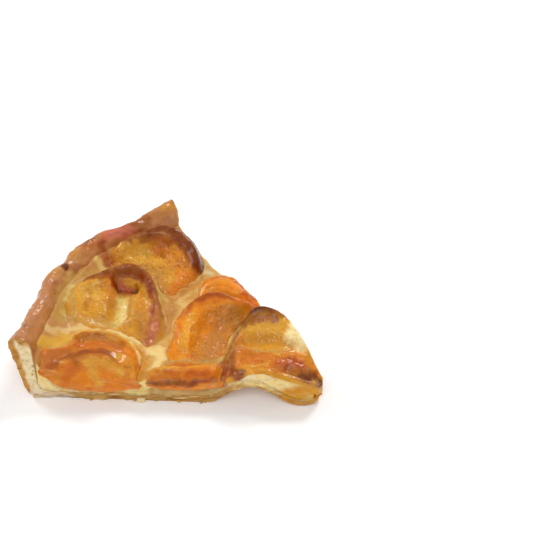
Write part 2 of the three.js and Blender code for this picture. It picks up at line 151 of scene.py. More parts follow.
FRUIT["apricot_left"] = {
    "flesh": "gold", "pores": (1.5, 0.16), "counts": FRUIT_COUNTS, "middle": (-22, -8),
    "edge": [(-42.5, -14.5, 21), (-42, -8, 23.5), (-37.5, -0.4, 25), (-29, 4.4, 25.4), (-20, 9, 25.6),
        (-11.6, 7, 25), (-7, 0.6, 23.5), (-4.3, -8, 21.5), (-2, -17, 18.5), (-3, -25, 16.5),
        (-7.5, -31.5, 15), (-12.5, -27, 16), (-22, -22.8, 17), (-34, -22.6, 19.5)],
    "lines": [
        (1.6, [(-33, 0.9, 25.9), (-25, 4, 28), (-18.5, 5.6, 28.7), (-13, 4.2, 28.2), (-9, -0.6, 27),
            (-6.5, -8, 24.2), (-5, -15, 21.5), (-5, -23, 18.5)]),
        (0.8, [(-21.5, -0.4, 20.4), (-18.5, -1.4, 20), (-15, -2.2, 20.2)]),
        (1.4, [(-22.4, 2.6, 24.6), (-17, 2.4, 24.2), (-13, 0.4, 23.8)]),
        (1.2, [(-19.5, -4.4, 19.4), (-20.5, -7, 18.4)]),
        (2.5, [(-34, -7, 22.4), (-28, -6.5, 22.4), (-27.5, -14, 20.8)]),
        (1.8, [(-21, -8, 18), (-21.5, -16, 16.6)]),
        (2, [(-12.5, -8, 22), (-11, -17, 20)])],
    "ridges": [
        (0.6, 2.4, [(-35, 1.6), (-26, 4.8), (-18.5, 6.4), (-12.5, 5), (-8.6, 0.4)]),
        (0.7, 1.6, [(-8.2, -2), (-6.4, -8), (-4.8, -15), (-4.4, -22), (-6.6, -28.6)]),
        (-0.6, 1.0, [(-9.6, -4), (-8.4, -10), (-7.4, -17), (-8, -24)]),
        (0.4, 1.6, [(-24, 0.6), (-23.6, -4), (-24.4, -9)]),
        (0.4, 1.8, [(-37.4, -3.5), (-36, -9), (-36.8, -16)]),
        (-0.4, 1.4, [(-33.4, -2.5), (-32.8, -8), (-34, -14)]),
        (0.6, 1.1, [(-27.4, -15.4), (-24.2, -17.6), (-21.6, -19.4)]),
        (0.7, 0.7, [(-22.6, 0.8), (-18.4, -0.2), (-14.4, -0.6)]),
        (-1.0, 1.0, [(-15.8, -1.6), (-14.4, -1.9)]),
        (-0.7, 1.1, [(-23, 0.4), (-21.4, -1.4)])],
    "strokes": [
        ("bright_gold", 4.2, 0.8, [(-37, -7), (-33, -4), (-28.6, -7)]),
        ("honey", 3.4, 0.7, [(-27, -4), (-25.6, -9), (-27, -13)]),
        ("tan", 2.4, 0.6, [(-26, -11), (-23.6, -8), (-22.6, -4)]),
        ("straw", 1.8, 0.85, [(-40.6, -6), (-39.8, -12), (-38.4, -17.6)]),
        ("bark", 1.3, 0.35, [(-33.6, -3), (-33, -8), (-34.4, -13)]),
        ("straw", 2.2, 0.7, [(-37, -19), (-31, -18.6), (-26, -20)]),
        ("straw", 1.1, 0.8, [(-28.4, -16.4), (-22.6, -20)]),
        ("amber", 3.0, 0.9, [(-13.4, -5), (-12, -14)]),
        ("tan", 3.2, 0.8, [(-12, -16), (-10, -26)]),
        ("pale_green", 3.0, 1.0, [(-20.8, -6.4), (-20, -11), (-21.6, -18.4)]),
        ("cream", 1.8, 0.85, [(-19.6, -9), (-19, -13), (-20, -17)]),
        ("straw", 1.3, 0.6, [(-16.6, -6), (-16.4, -12), (-16.8, -19)]),
        ("orange", 2.4, 0.7, [(-25.2, 0.6), (-25, -6)]),
        ("bark", 2.8, 0.8, [(-22.4, -1), (-15.6, -2.8)]),
        ("red_brown", 2.2, 1.0, [(-22.4, -0.4), (-15.4, -2)]),
        ("mahogany", 1.3, 0.95, [(-23.6, 1.2), (-21.4, -2)]),
        ("red", 1.0, 0.8, [(-24.2, 0.6), (-23.4, -1.4)]),
        # the ridge across the pit: pink, with a painted highlight along it
        ("pink", 0.8, 0.95, [(-21.4, 0.7), (-15.6, -0.8)]),
        # near-black in the sunk hole at the right end of the pit
        ("near_black", 1.1, 1.0, [(-15.9, -1.7), (-14.3, -2)]),
        ("plum", 3.4, 0.9, [(-7, -7), (-6, -20), (-7.4, -27)]),
        ("pink", 1.3, 0.6, [(-8.6, -12), (-8, -18), (-8.4, -24)]),
        ("red_brown", 1.9, 0.85, [(-35, 0), (-30, 0.8), (-25, 2), (-20, 3), (-16, 2.8), (-12.6, 1.2),
            (-10, -2), (-8.2, -6)]),
        ("mahogany", 2.4, 0.9, [(-37, 0.6), (-27, 4)]),
        ("mahogany", 4.4, 0.85, [(-28, 5), (-17, 6.6), (-12.2, 4.4), (-7, -3.4)]),
        ("red_brown", 3.6, 0.5, [(-20, 4.4), (-15, 4.4), (-11.4, 2), (-9, -1.6)]),
        ("mahogany", 1.5, 0.7, [(-6.8, -4), (-4.6, -10), (-3.2, -16)]),
        ("red_brown", 1.1, 0.8, [(-9, -5), (-8, -9), (-6.4, -11.4), (-7, -15)]),
        ("pink", 1.4, 0.7, [(-5.6, -20), (-7.4, -30.4)])]}
FRUIT["apricot_front"] = {
    "flesh": "orange", "pores": (1.1, 0.18), "counts": FRUIT_COUNTS, "middle": (-27, -36), "bulge": 1.3,
    "hem": [(-49.5, 23), (-48.6, 17), (-47.8, 9.8), (-43.1, 5.4), (-34.3, 4.2), (-24.4, 3.7), (-17, 5.4),
        (-13, 8.4), (-10.6, 12), (-9, 15)],
    "edge": [(-51.5, -40, 22.5), (-45, -37.2, 22), (-40, -33, 21), (-37.6, -26.4, 20.8), (-29, -24.1, 20.4),
        (-20, -26.1, 19.4), (-12.5, -31.1, 17.4), (-9.4, -37, 14.4), (-10, -42, 10), (-16, -50, 11),
        (-30, -52, 12), (-44, -50, 12), (-55, -44, 16)],
    "lines": [
        (1.3, [(-44.5, -41.5, 18.4), (-38, -38.4, 18.6), (-31.5, -36, 18.5), (-25, -36, 18),
            (-20, -38.4, 16.6)]),
        (1.6, [(-42, -43, 18.2), (-36, -41, 20), (-30, -39.4, 20.6), (-24, -39.6, 20),
            (-19.5, -41.6, 16.6)]),
        (2, [(-36, -42.5, 16.5), (-24, -42.3, 16.5)]),
        (1.5, [(-35, -29, 18.2), (-25, -28.8, 17.6), (-17, -32.5, 16.2)]),
        (1.6, [(-49, -40.8, 21.6), (-43, -38.6, 20.4)])],
    "ridges": [
        (0.6, 1.3, [(-38.6, -30), (-37, -26.8), (-32, -25.2), (-26, -25.4), (-19, -27.8), (-13.6, -32),
            (-11, -37)]),
        (0.5, 1.6, [(-33, -30.5), (-26, -30.6), (-20, -33.4)]),
        (0.5, 1.2, [(-15.5, -35.5), (-13.5, -39.5)]),
        (0.5, 0.8, [(-14.4, -33), (-12.6, -36)])],
    "strokes": [
        ("bark", 3.0, 0.75, [(-36.5, -30.4), (-31.6, -28.8), (-25.6, -29), (-20, -31.4)]),
        ("tan", 1.4, 0.6, [(-35, -28.6), (-30, -28), (-24, -28.6)]),
        ("deep_orange", 2.4, 0.8, [(-36, -33.6), (-30, -31.8), (-24, -32), (-18.4, -34.6)]),
        ("bright_orange", 2.0, 0.8, [(-16.4, -33), (-14.4, -37), (-14, -41)]),
        ("bright_gold", 1.3, 0.8, [(-37, -27), (-32, -25.6), (-26, -25.8), (-19, -28), (-13.4, -32.4),
            (-11, -37.6)]),
        ("yellow", 1.3, 1.0, [(-39.4, -30), (-37.4, -26), (-32, -24.4), (-26, -24.6), (-19, -26.6),
            (-13, -31), (-10.2, -36.6)]),
        ("cream", 0.8, 0.8, [(-31, -23.6), (-24, -24.4), (-17, -27.4), (-11.6, -32)]),
        ("plum", 3.2, 0.55, [(-48, -41), (-40, -38)]),
        ("orange", 1.4, 0.8, [(-51, -41.4), (-46, -37.4), (-41, -35)]),
        # painted highlight: a bright gold glow of light along the top of the front bulge
        ("bright_gold", 3.4, 0.75, [(-33, -41.6, 18.6), (-26, -41.6, 18), (-19, -42.4, 14)]),
        ("bright_orange", 3.4, 0.6, [(-40, -43, 13), (-31, -43.4, 12), (-22, -43.6, 12)]),
        ("deep_orange", 3.0, 0.7, [(-42, -44, 9), (-39, -43.6, 13), (-35, -42, 18)]),
        # painted highlight: a bright gold glow of light down the middle of the front bulge
        ("bright_gold", 2.6, 0.8, [(-31, -42.6, 18), (-29, -44, 13), (-27, -44.6, 9)]),
        ("yellow", 1.2, 0.7, [(-24, -40, 19.4), (-18, -43.6, 13)]),
        ("deep_orange", 1.8, 0.5, [(-41, -42.4, 16), (-36, -41, 19), (-31, -39.4, 20), (-25, -39.4, 19.6),
            (-20.6, -41, 16)]),
        ("red", 1.5, 0.4, [(-32, -44.4, 7), (-25, -44.6, 8), (-16, -44.6, 8)]),
        ("deep_orange", 3.0, 0.6, [(-46, -43.4, 12), (-41, -43.6, 13), (-38, -43, 15)]),
        # the crease under the flap's edge: brown, with the shade that the flap casts into it painted in, in
        # these four strokes
        ("bark", 3.4, 1.0, [(-37, -39.2), (-27, -36.6), (-21.6, -38)]),
        ("red_brown", 1.8, 0.7, [(-34, -37.6), (-30, -36.4), (-26, -36.2), (-23, -37)]),
        ("red_brown", 1.7, 0.6, [(-40, -40), (-36, -37.4), (-31, -35.4), (-26, -35)]),
        ("bark", 0.9, 0.6, [(-43.6, -42), (-38, -38.4)]),
        ("red", 0.9, 0.8, [(-17.4, -41), (-15.4, -40)]),
        ("cream", 0.9, 0.7, [(-13, -34), (-11.4, -38.4)]),
        # painted shade: a thin dark line under the left end of the flap's edge
        ("red_brown", 0.8, 0.6, [(-47.6, -42.8), (-44, -41.6), (-40, -39.4)]),
        ("bright_gold", 2.2, 0.6, [(-20, -37), (-17, -38.6), (-15, -41)])]}
FRUIT["apricot_middle"] = {
    "flesh": "bright_orange", "pores": (1.2, 0.2), "counts": FRUIT_COUNTS, "middle": (14, -24),
    "edge": [(-1.4, -37, 16), (0, -28, 17.8), (1, -20, 19.8), (4.5, -12.6, 21), (11, -7.6, 22.2),
        (18, -5.6, 22.8), (25, -7.2, 22.2), (33, -8.8, 20.6), (36, -11.5, 19), (30.5, -17, 18.5),
        (26.5, -22.5, 17.5), (23.8, -29, 16), (21, -37, 15), (10, -39.5, 15)],
    "lines": [
        (1.5, [(7.2, -12.6, 23), (13, -9.2, 24.8), (19, -8.2, 25.2), (25, -10, 24.2), (31, -11.2, 22.4)]),
        (3, [(5, -30, 18.8), (6, -21, 20.4)]),
        (3, [(14, -34, 15.6), (18, -22, 16.2)])],
    "ridges": [
        (0.6, 2.4, [(5.4, -13), (12, -8.8), (19, -7.8), (26, -9.4), (32, -10.8)]),
        (-0.5, 1.6, [(21, -15.4), (15.4, -17), (12, -21), (10.8, -28), (9.6, -36)]),
        (0.6, 1.6, [(9, -18), (7.6, -25), (7, -32)]),
        (0.3, 1.4, [(23, -17), (20, -23), (17, -31)])],
    "strokes": [
        ("deep_orange", 1.6, 0.6, [(1.6, -16), (-0.4, -33)]),
        ("yellow", 3.0, 0.55, [(8.6, -17), (6.6, -24), (6, -32)]),
        ("deep_orange", 1.3, 0.5, [(3.6, -21), (3, -28)]),
        ("amber", 3.2, 0.8, [(13, -13), (21, -12), (29, -13)]),
        ("bark", 5.8, 0.7, [(25.6, -17.6), (20.6, -22), (15, -36)]),
        ("tan", 5.4, 0.7, [(26, -17.4), (20.6, -22), (14.6, -36)]),
        ("straw", 1.8, 0.85, [(5, -38.4), (11, -38.9), (16, -38), (20, -36)]),
        ("bark", 2.4, 0.3, [(20, -15.8), (14.8, -17.2), (12, -21), (11, -28), (9.6, -36)]),
        ("bark", 2.0, 0.75, [(30, -16), (27, -20), (23, -32)]),
        ("deep_orange", 3.4, 0.85, [(4, -16), (8.4, -12.6), (14, -10.6), (20, -10.4)]),
        ("red_brown", 3.2, 0.9, [(7.6, -11.2), (13.6, -8.8), (19, -8), (25, -9.4)]),
        ("mahogany", 1.7, 0.8, [(9, -9), (15, -6.8), (20, -6.4), (24, -7.8)]),
        ("deep_orange", 2.2, 0.8, [(26, -11), (31, -11.4), (35, -11)]),
        ("red", 1.1, 0.6, [(29, -10.4), (34, -10.2)])]}
FRUIT["apricot_side"] = {
    "flesh": "bright_orange", "pores": (1.3, 0.12), "counts": SMALL_FRUIT_COUNTS, "middle": (22, 0),
    "edge": [(9.5, 3, 16.5), (11.5, 8.7, 17.2), (17, 11.4, 18.4), (24, 10, 19), (31, 3, 19), (37, -5, 18.4),
        (33, -8, 17.5), (25, -6.2, 17.5), (18, -4.5, 17), (12, -3.5, 16)],
    "lines": [
        (2, [(14, 5.8, 18.8), (21, 5.4, 20.2), (28, -1.4, 20.8), (33, -5, 20)])],
    "ridges": [
        (0.8, 1.8, [(29.6, -2.8), (33.4, -5.4)]),
        (0.4, 1.2, [(13, 8), (19, 9.4), (25, 7)]),
        (-0.4, 1.0, [(14, 3), (20, 3), (26, -1.6)])],
    "strokes": [
        ("amber", 2.4, 0.6, [(12, 2), (26, -3)]),
        ("straw", 1.5, 0.8, [(10.5, 2), (11, 6.4), (14, 9.8), (18, 11)]),
        ("deep_orange", 1.6, 0.7, [(17, 8.6), (23, 8), (28, 3)]),
        ("gold", 1.6, 0.5, [(15, 5), (21, 5)]),
        ("red", 2.2, 0.7, [(29, -2.4), (33.4, -5)]),
        ("deep_orange", 1.8, 0.8, [(26, 6), (34, -3)]),
        ("red_brown", 1.1, 0.8, [(30, 2.6), (35.6, -3.8)])]}
FRUIT["apricot_tip"] = {
    "flesh": "gold", "pores": (1.3, 0.16), "counts": FRUIT_COUNTS, "middle": (39, -34), "bulge": 0.3,
    "hem": [(24, 11), (28.2, 12.6), (32.2, 16.4), (35, 17.6), (38, 16.8), (42, 15), (47.8, 12.8),
        (53.7, 10.6), (56, 8), (57.6, 5.4), (60.6, 4.6)],
    "edge": [(23.6, -36, 16.8), (26, -29.5, 19.8), (29.4, -21.6, 22.6), (34, -18.4, 25.4),
        (40.4, -18.6, 25.6), (50, -24, 24.8), (58, -33, 22.4), (67, -46, 13), (63, -54, 13), (46, -54, 16.4),
        (39, -52, 18.6), (34.7, -51, 18.8), (30, -50, 16.4), (24, -49, 13.5), (22.6, -42, 13.5)],
    "lines": [
        (1.6, [(29.2, -23.2, 24.6), (33.5, -20.8, 28.2), (38, -20.6, 28.4), (43, -22.4, 27.8)]),
        (3, [(33, -28.5, 23.6), (41, -28.5, 24.2), (49, -32, 23.6)]),
        (1, [(27.5, -33, 18), (37, -34.5, 19.5), (46, -36, 19.8), (53, -37, 18.5)]),
        (2, [(29, -41, 16), (38, -39.5, 19), (47, -41, 18.5), (54, -43.5, 16)])],
    "ridges": [
        (0.6, 2.2, [(28.4, -23.4), (32.6, -21), (38, -20.4), (43, -22.4)]),
        (0.5, 1.5, [(28.4, -34), (33, -37), (39, -39), (47, -39), (54, -39)]),
        (0.6, 1.2, [(26.4, -30), (24.8, -35), (24.4, -41)]),
        (-0.4, 1.0, [(33, -41), (38, -42.6)]),
        (0.4, 1.4, [(46, -43.6), (52, -44.6), (58, -45.4)])],
    "strokes": [
        ("bright_gold", 5.4, 0.45, [(34, -27.6), (46, -28.6)]),
        ("amber", 3.0, 0.5, [(29, -31), (44, -33)]),
        ("deep_orange", 2.4, 0.6, [(28, -28.6), (28.6, -32), (31, -34)]),
        ("bright_cream", 3.2, 1.0, [(48, -31), (51, -33), (52.4, -35.4)]),
        ("bright_cream", 3.8, 1.0, [(50, -28.4), (54, -32)]),
        ("orange", 4.6, 0.9, [(28, -40), (35, -42.6), (52, -42)]),
        ("straw", 1.3, 0.8, [(28.6, -33.6), (33, -35.8), (40, -37.2), (48, -37.6)]),
        ("orange", 2.6, 0.9, [(28.4, -37.4), (34, -40), (41, -41)]),
        ("deep_orange", 2.0, 0.75, [(28, -35), (33, -37.4), (39, -38.6)]),
        ("deep_orange", 3.2, 0.6, [(30, -40.6), (36, -43), (42, -44), (47, -43)]),
        ("bright_gold", 1.2, 0.6, [(30, -42.6), (34, -43.6), (39, -43.4)]),
        ("orange", 2.2, 0.7, [(46, -38.6), (52, -38.6), (57, -40.6)]),
        ("red", 2.4, 0.85, [(44, -42), (49, -41.8), (57.6, -43.8)]),
        ("mahogany", 1.8, 0.5, [(47, -43.4), (55, -44.4)]),
        ("mahogany", 2.4, 0.95, [(55.4, -44.6, 14), (61, -46, 11)]),
        ("red_brown", 2.0, 0.6, [(46, -44.8, 16), (50, -45.6, 15), (56, -46.6, 12)]),
        ("honey", 2.6, 1.0, [(52, -47.8, 10), (56, -48, 7), (60, -47, 5)]),
        ("mahogany", 2.4, 1.0, [(53, -46, 14), (57, -46.6, 11.6), (60, -46, 9.8)]),
        ("dark_brown", 1.8, 0.9, [(56, -46.9, 12), (58.6, -46.9, 10.4), (61, -46.4, 9.4)]),
        ("bark", 1.5, 0.85, [(28.2, -24.6), (26.2, -28.6), (23.8, -40)]),
        ("red_brown", 2.4, 0.9, [(25, -33), (24.6, -43)]),
        ("mahogany", 2.8, 1.0, [(23.8, -42), (25.6, -45), (28.4, -46.6)]),
        ("red_brown", 1.6, 0.8, [(24, -43.6), (25.6, -46), (27.6, -47)]),
        ("red_brown", 1.6, 0.8, [(30.6, -25.6), (39, -24.6), (42, -24.8)]),
        ("mahogany", 4.4, 0.95, [(29.4, -22.4), (37.4, -20.4), (42, -21.2)]),
        ("dark_brown", 3.3, 0.9, [(29.4, -22), (33, -20.4), (37.4, -19.8), (41, -20.4)]),
        ("red_brown", 1.8, 0.6, [(42, -21.6), (46, -23)])]}
FRUIT["apricot_strip"] = {
    "flesh": "orange", "pores": (1.1, 0.16), "counts": SMALL_FRUIT_COUNTS, "middle": (6.5, -43.5),
    "bulge": 0.7,
    "hem": [(-8.3, 8.7), (-3.4, 6.4), (2.5, 6.4), (10.5, 6.6), (20.4, 9), (23, 11)],
    "edge": [(-8.8, -44, 12), (-7, -41.3, 14.8), (6, -40.3, 15.8), (20.5, -39.3, 15.2), (22, -43, 12.5),
        (19, -50, 11.5), (5, -51, 12), (-6, -49, 11)],
    "lines": [
        (1.2, [(-4, -43.2, 15.5), (8, -43, 16), (18, -42.5, 15.2)])],
    "ridges": [
        (0.4, 1.0, [(-5, -42.6), (4, -42.2), (16, -41.6)]),
        (0.4, 1.2, [(8, -44.4), (14, -44.6)])],
    "strokes": [
        ("gold", 1.9, 0.6, [(-6, -42), (18, -40.8)]),
        ("bright_gold", 1.2, 0.7, [(-3, -42.6, 15), (3, -42.6, 15.6)]),
        ("red", 1.6, 0.5, [(-4, -44, 15), (1, -44.2, 15)]),
        ("deep_orange", 1.8, 0.8, [(-7, -44.6, 13), (4, -45, 13.4), (16, -45, 13.4), (21, -44.6, 13.4)]),
        ("red", 1.9, 0.6, [(9, -44.2, 15), (15, -44.4, 14.8)]),
        ("dark_brown", 1.9, 0.8, [(-8, -45, 10.4), (-3, -45.6, 10.6), (11, -46.2, 11)]),
        ("red_brown", 1.6, 0.85, [(10, -46, 11), (22, -46, 12.6)])]}
CRUST_STROKES = [
    # the rim's left side: rosy crust with a broad painted sheen laid over it
    ("rim_rose", 3.0, 0.6, [(-58, -38, 29), (-54, -26, 28.5), (-50.5, -5, 28)]),
    ("rim_light", 2.6, 0.6, [(-46, -1, 27.5), (-42, 8, 27.5), (-37, 17, 27.5)]),
    ("rim_dark", 1.8, 0.6, [(-38, 18, 28), (-33, 24, 28)]),
    ("deep_orange", 2.4, 0.45, [(-54, -28, 28), (-52, -18, 27), (-50, -8, 27)]),
    ("honey", 2.0, 0.4, [(-48, 0, 27.5), (-44, 8, 28), (-39, 15, 28)]),
    ("straw", 3.2, 0.95, [(-46, -14, 23), (-44.4, -4, 24), (-41, 3, 24)]),
    ("deep_orange", 3.0, 0.5, [(-38, 16, 26), (-33, 21, 26), (-29, 24.6, 25)]),
    ("red_brown", 2.6, 0.9, [(-30.4, 23, 25.6), (-27.8, 17, 21)]),
    # painted reflection: a pinkish sheen on the glossy red end of the back apricot's lip, laid on the rim
    # where that end would lie
    ("pinkish_sheen", 3.6, 1.0, [(-28, 26.2, 26.8), (-23.5, 28.4, 27), (-19.5, 29.6, 26)]),
    ("rim_dark", 2.2, 0.8, [(-18, 33, 28.5), (-11, 36.6, 28.4)]),
    ("mahogany", 0.9, 0.7, [(-55.6, -34, 29), (-54.8, -31, 28.8)]),
    ("cream", 1.3, 0.8, [(0.6, 45, 28), (1.4, 43.8, 25), (4.4, 40, 20), (7, 36.6, 15)]),
    ("honey", 2.2, 0.6, [(-5, 43, 29.4), (0, 46, 28)])]
RIM_BLISTER = {"middle": (-43.6, 4.8, 28.0), "radius": 1.7, "height": 0.9}

CUSTARD_STROKES = [
    ("red_brown", 2.6, 0.85, [(-30, 22), (-26.6, 16)]),
    ("straw", 3.0, 0.9, [(-44.8, -20), (-42.6, -4), (-37, 4), (-32, 8)]),
    ("pale_green", 1.2, 0.7, [(-42.8, -16), (-42.6, -8), (-40, -1)]),
    ("yellow", 3.4, 0.85, [(-49.5, -35.5), (-41, -28)]),
    ("cream", 1.8, 0.7, [(-48, -28), (-42, -24.6), (-36, -22), (-28, -22), (-20, -23), (-13, -28)]),
    ("cream", 2.8, 0.9, [(-6, -32.4), (-4, -32), (-3.6, -37), (-5, -41)]),
    ("juice", 3.2, 0.85, [(-5, 7), (-1.6, 1), (0, -6), (-0.4, -14), (-1.6, -22)]),
    ("juice", 2.6, 0.8, [(1, 0), (5, 5), (9, 7), (12, 11)]),
    ("tan", 2.0, 0.8, [(0, -39), (8, -40), (16, -39.2), (21, -37.6)]),
    ("deep_orange", 1.6, 0.9, [(-2, -41), (6, -40.2), (21.4, -39.4)]),
    ("red_brown", 3.0, 1.0, [(21.6, -46), (23.2, -38)]),
    ("bark", 1.6, 0.9, [(22.6, -36), (24.6, -30), (27.6, -23), (31, -18)]),
    ("pale_green", 2.0, 0.6, [(-6.5, 8), (-3, -2)]),
    ("milk", 1.6, 0.4, [(12, 18), (15, 15.4)]),
    ("pale_green", 2.6, 0.9, [(-32, 16), (-30, 13.6), (-27.6, 12)]),
    ("cream", 2.0, 0.8, [(32, -47, 15), (35, -47, 15), (39, -47.5, 14)])]

CUT_STROKES = [  # on the custard's cut face
    ("honey", 1.3, 0.8, [(-41, -43.4, 5.2), (-30, -43.9, 4.2), (-18, -44.4, 4.6)]),
    ("pale_green", 2.0, 0.8, [(-17, -44.4, 3.4), (-8, -44.9, 6)]),
    ("flake", 3.2, 1.0, [(-6, -45, 4.8), (12, -45.9, 5.4), (20, -46.2, 7.4)]),
    ("juice", 1.2, 0.8, [(-7, -45, 6.8), (4, -45.4, 6.4), (14, -45.9, 7.2), (21, -46.3, 9.4)]),
    ("straw", 1.6, 0.7, [(-47.5, -43.2, 14), (-46, -43.2, 8), (-42, -43.4, 5)]),
    ("honey", 5.0, 1.0, [(47, -47.5, 4.6), (52, -47.7, 6), (59, -48, 6.6)]),
    ("honey", 3.0, 1.0, [(50, -47.5, 9), (55, -47.7, 9), (59, -48, 8)]),
    ("red_brown", 2.6, 1.0, [(22, -46.2, 14), (22.6, -46.3, 10)]),
    ("amber", 1.8, 0.9, [(47, -47.5, 7), (53, -47.7, 9.4), (58, -48, 9.4)])]
BASE_STROKES = [
    # painted light: a whitish glare along the lower left of the base
    ("milk", 2.4, 0.75, [(-54, -42.8, 2), (-40, -43.4, 1.6)]),
    ("honey", 4.0, 1.0, [(46, -47.5, 3.5), (52, -47.7, 4), (58, -48, 5.5)]),
    ("honey", 3.0, 0.9, [(59.6, -46.4, 3), (58.6, -44, 3)]),
    ("cream", 3.0, 1.0, [(25.6, -46.6, 11.6), (36, -47, 11.6), (40.6, -47.2, 10.2)]),
    ("honey", 1.2, 0.8, [(-40, -43.8, 4.6), (-30, -44, 4.2), (-20, -44.4, 4.4)]),
    ("skin", 1.0, 0.7, [(18, -46.4, 4.4), (24, -46.6, 7.6), (30, -47, 9.2), (36, -47.2, 8.4)]),
    ("bark", 0.7, 0.6, [(-2, -45.4, 1), (8, -45.8, 1.2), (20, -46.4, 3)])]


CRUMB_COUNT = 9
CRUMBS = [  # place along the front cut, distance out of it, radius and colour
    (-10.8, 0.6, 1.3, "dough"), (-13.6, 0.3, 0.6, "straw"), (-31, 0.5, 0.6, "flake"),
    (3.8, 0.1, 0.8, "straw"), (12.6, 0.2, 0.6, "flake"),
]


# ---- noise --------------------------------------------------------------------------------
def lattice(cell, seed):
    """A number from 0 to 1 for each whole-numbered point of space."""
    mixed = cell[..., 0] * 73856093 ^ cell[..., 1] * 19349663 ^ cell[..., 2] * 83492791
    mixed = (mixed ^ seed * 40503) & 0xFFFFFFFF
    mixed = (mixed ^ mixed >> 15) * 73244475 & 0xFFFFFFFF
    mixed = (mixed ^ mixed >> 13) * 73244475 & 0xFFFFFFFF
    return (mixed ^ mixed >> 16) / 0xFFFFFFFF


def noise(points, size, seed):
    """Smooth noise from -1 to 1 with features of that size."""
    scaled = points / size
    low = np.floor(scaled).astype(np.int64)
    part = smooth(scaled - low, 0, 1)
    total = 0
    for corner in np.ndindex(2, 2, 2):
        weight = np.prod(np.where(corner, part, 1 - part), axis=-1)
        total = total + weight * lattice(low + corner, seed)
    return 2 * total - 1


def fractal(points, size, octaves, seed):
    return sum(noise(points, size / 2 ** k, seed + k) / 2 ** k for k in range(octaves))


def cells(points, size, seed):
    """Distance to the nearest of points strewn about one to a cell, over the cell's size."""
    scaled = points / size
    low = np.floor(scaled).astype(np.int64)
    best = np.full(len(points), 9.0)
    for corner in np.ndindex(3, 3, 3):
        cell = low + np.array(corner) - 1
        spot = np.stack([lattice(cell, seed + k) for k in range(3)], axis=-1) + cell
        best = np.minimum(best, np.linalg.norm(scaled - spot, axis=-1))
    return best


# ---- curves and shapes in plan ------------------------------------------------------------
def smooth(value, low, high):
    share = np.clip((value - low) / (high - low), 0, 1)
    return share * share * (3 - 2 * share)


def mix(a, b, share):
    return a + (b - a) * share


def curve(points, closed, samples):
    """Samples of a smooth curve through the points, whose leading axis counts them."""
    points = np.asarray(points, float)
    if closed:
        padded = np.concatenate([points[-1:], points, points[:2]])
        spans = len(points)
        at = np.arange(samples) / samples * spans
    else:
        first = 2 * points[:1] - points[1:2]
        last = 2 * points[-1:] - points[-2:-1]
        padded = np.concatenate([first, points, last])
        spans = len(points) - 1
        at = np.linspace(0, spans, samples)
    i = np.minimum(at.astype(int), spans - 1)
    t = (at - i).reshape((-1,) + (1,) * (points.ndim - 1))
    a, b, c, d = (padded[i + k] for k in range(4))
    slope_b, slope_c = (c - a) / 2, (d - b) / 2
    return ((2 * t ** 3 - 3 * t ** 2 + 1) * b + (t ** 3 - 2 * t ** 2 + t) * slope_b
            + (3 * t ** 2 - 2 * t ** 3) * c + (t ** 3 - t ** 2) * slope_c)


def distance_to(points, path):
    """Distance from each point to a smooth path, in plan if the path has no heights."""
    path = np.asarray([p + (0,) * (3 - len(p)) for p in path], float)
    flat = not path[:, 2].any()
    line = curve(path, False, 6 * len(path))
    here = points * ((1, 1, 0) if flat else (1, 1, 1))
    best = np.full(len(points), np.inf)
    for a, b in zip(line[:-1], line[1:]):
        along = np.clip((here - a) @ (b - a) / max((b - a) @ (b - a), 1e-9), 0, 1)
        best = np.minimum(best, np.linalg.norm(here - a - along[:, None] * (b - a), axis=-1))
    return best


def rim_value(column, degrees):
    at, value = RIM[:, 0], RIM[:, column]
    slope = np.gradient(value, at)
    inner = (value[2:] - value[:-2]) / (at[2:] - at[:-2])
    slope[1:-1] = inner
    i = np.clip(np.searchsorted(at, degrees, "right") - 1, 0, len(at) - 2)
    span = at[i + 1] - at[i]
    t = np.clip((degrees - at[i]) / span, 0, 1)
    bend = span * (slope[i] * (1 - t) - slope[i + 1] * t)
    step = (value[i + 1] - value[i]) * (1 - 2 * t)
    return mix(value[i], value[i + 1], t) + t * (1 - t) * (bend - step)


def rim_reach(degrees):
    """Distance from the apex to the rim's outer crest."""
    a = np.radians(degrees)
    dx, dy = APEX[0] - TART_MIDDLE[0], APEX[1] - TART_MIDDLE[1]
    along = np.cos(a) * dx + np.sin(a) * dy
    return -along + np.sqrt(rim_value(RADIUS, degrees) ** 2 - dx * dx - dy * dy + along ** 2)


def from_apex(distance, degrees, z):
    a = np.radians(degrees)
    parts = (APEX[0] + distance * np.cos(a), APEX[1] + distance * np.sin(a), z)
    return np.stack(np.broadcast_arrays(*parts), axis=-1)


def polar(x, y):
    degrees = np.degrees(np.arctan2(y - APEX[1], x - APEX[0]))
    return np.hypot(x - APEX[0], y - APEX[1]), np.where(degrees < 0, degrees + 360, degrees)


def lift(distance):
    offset = distance - ARCH["middle"]
    share = offset / np.where(offset > 0, ARCH["to_rim"], ARCH["to_tip"])
    raised = ARCH["height"] * np.cos(share * np.pi / 2) ** 2
    return np.where(np.abs(share) < 1, raised, 0)


def custard_top(distance, degrees):
    from_wall = rim_reach(degrees) - rim_value(WALL, degrees) - distance
    climb = mix(4, 9, smooth(degrees, 130, 150)) * np.exp(-np.maximum(from_wall, 0) / 7)
    dip = 2.5 * (1 - smooth(degrees, 123, 131)) * np.exp(-((distance - 86) / 12) ** 2)
    flat = mix(lift(distance) + CUSTARD_OVER_ARCH, CUSTARD_LEVEL, smooth(distance, 38, 58))
    from_front = distance * np.sin(np.radians(FRONT_CUT - degrees))
    slump = 5.5 * smooth(distance, 45, 60) * np.exp(-(from_front / 4) ** 2)
    return flat + climb - dip - slump


def cut_distances(x, y):
    """How far inside the front and the back cut plane."""
    distance, degrees = polar(x, y)
    return (distance * np.sin(np.radians(FRONT_CUT - degrees)),
            distance * np.sin(np.radians(degrees - BACK_CUT)))


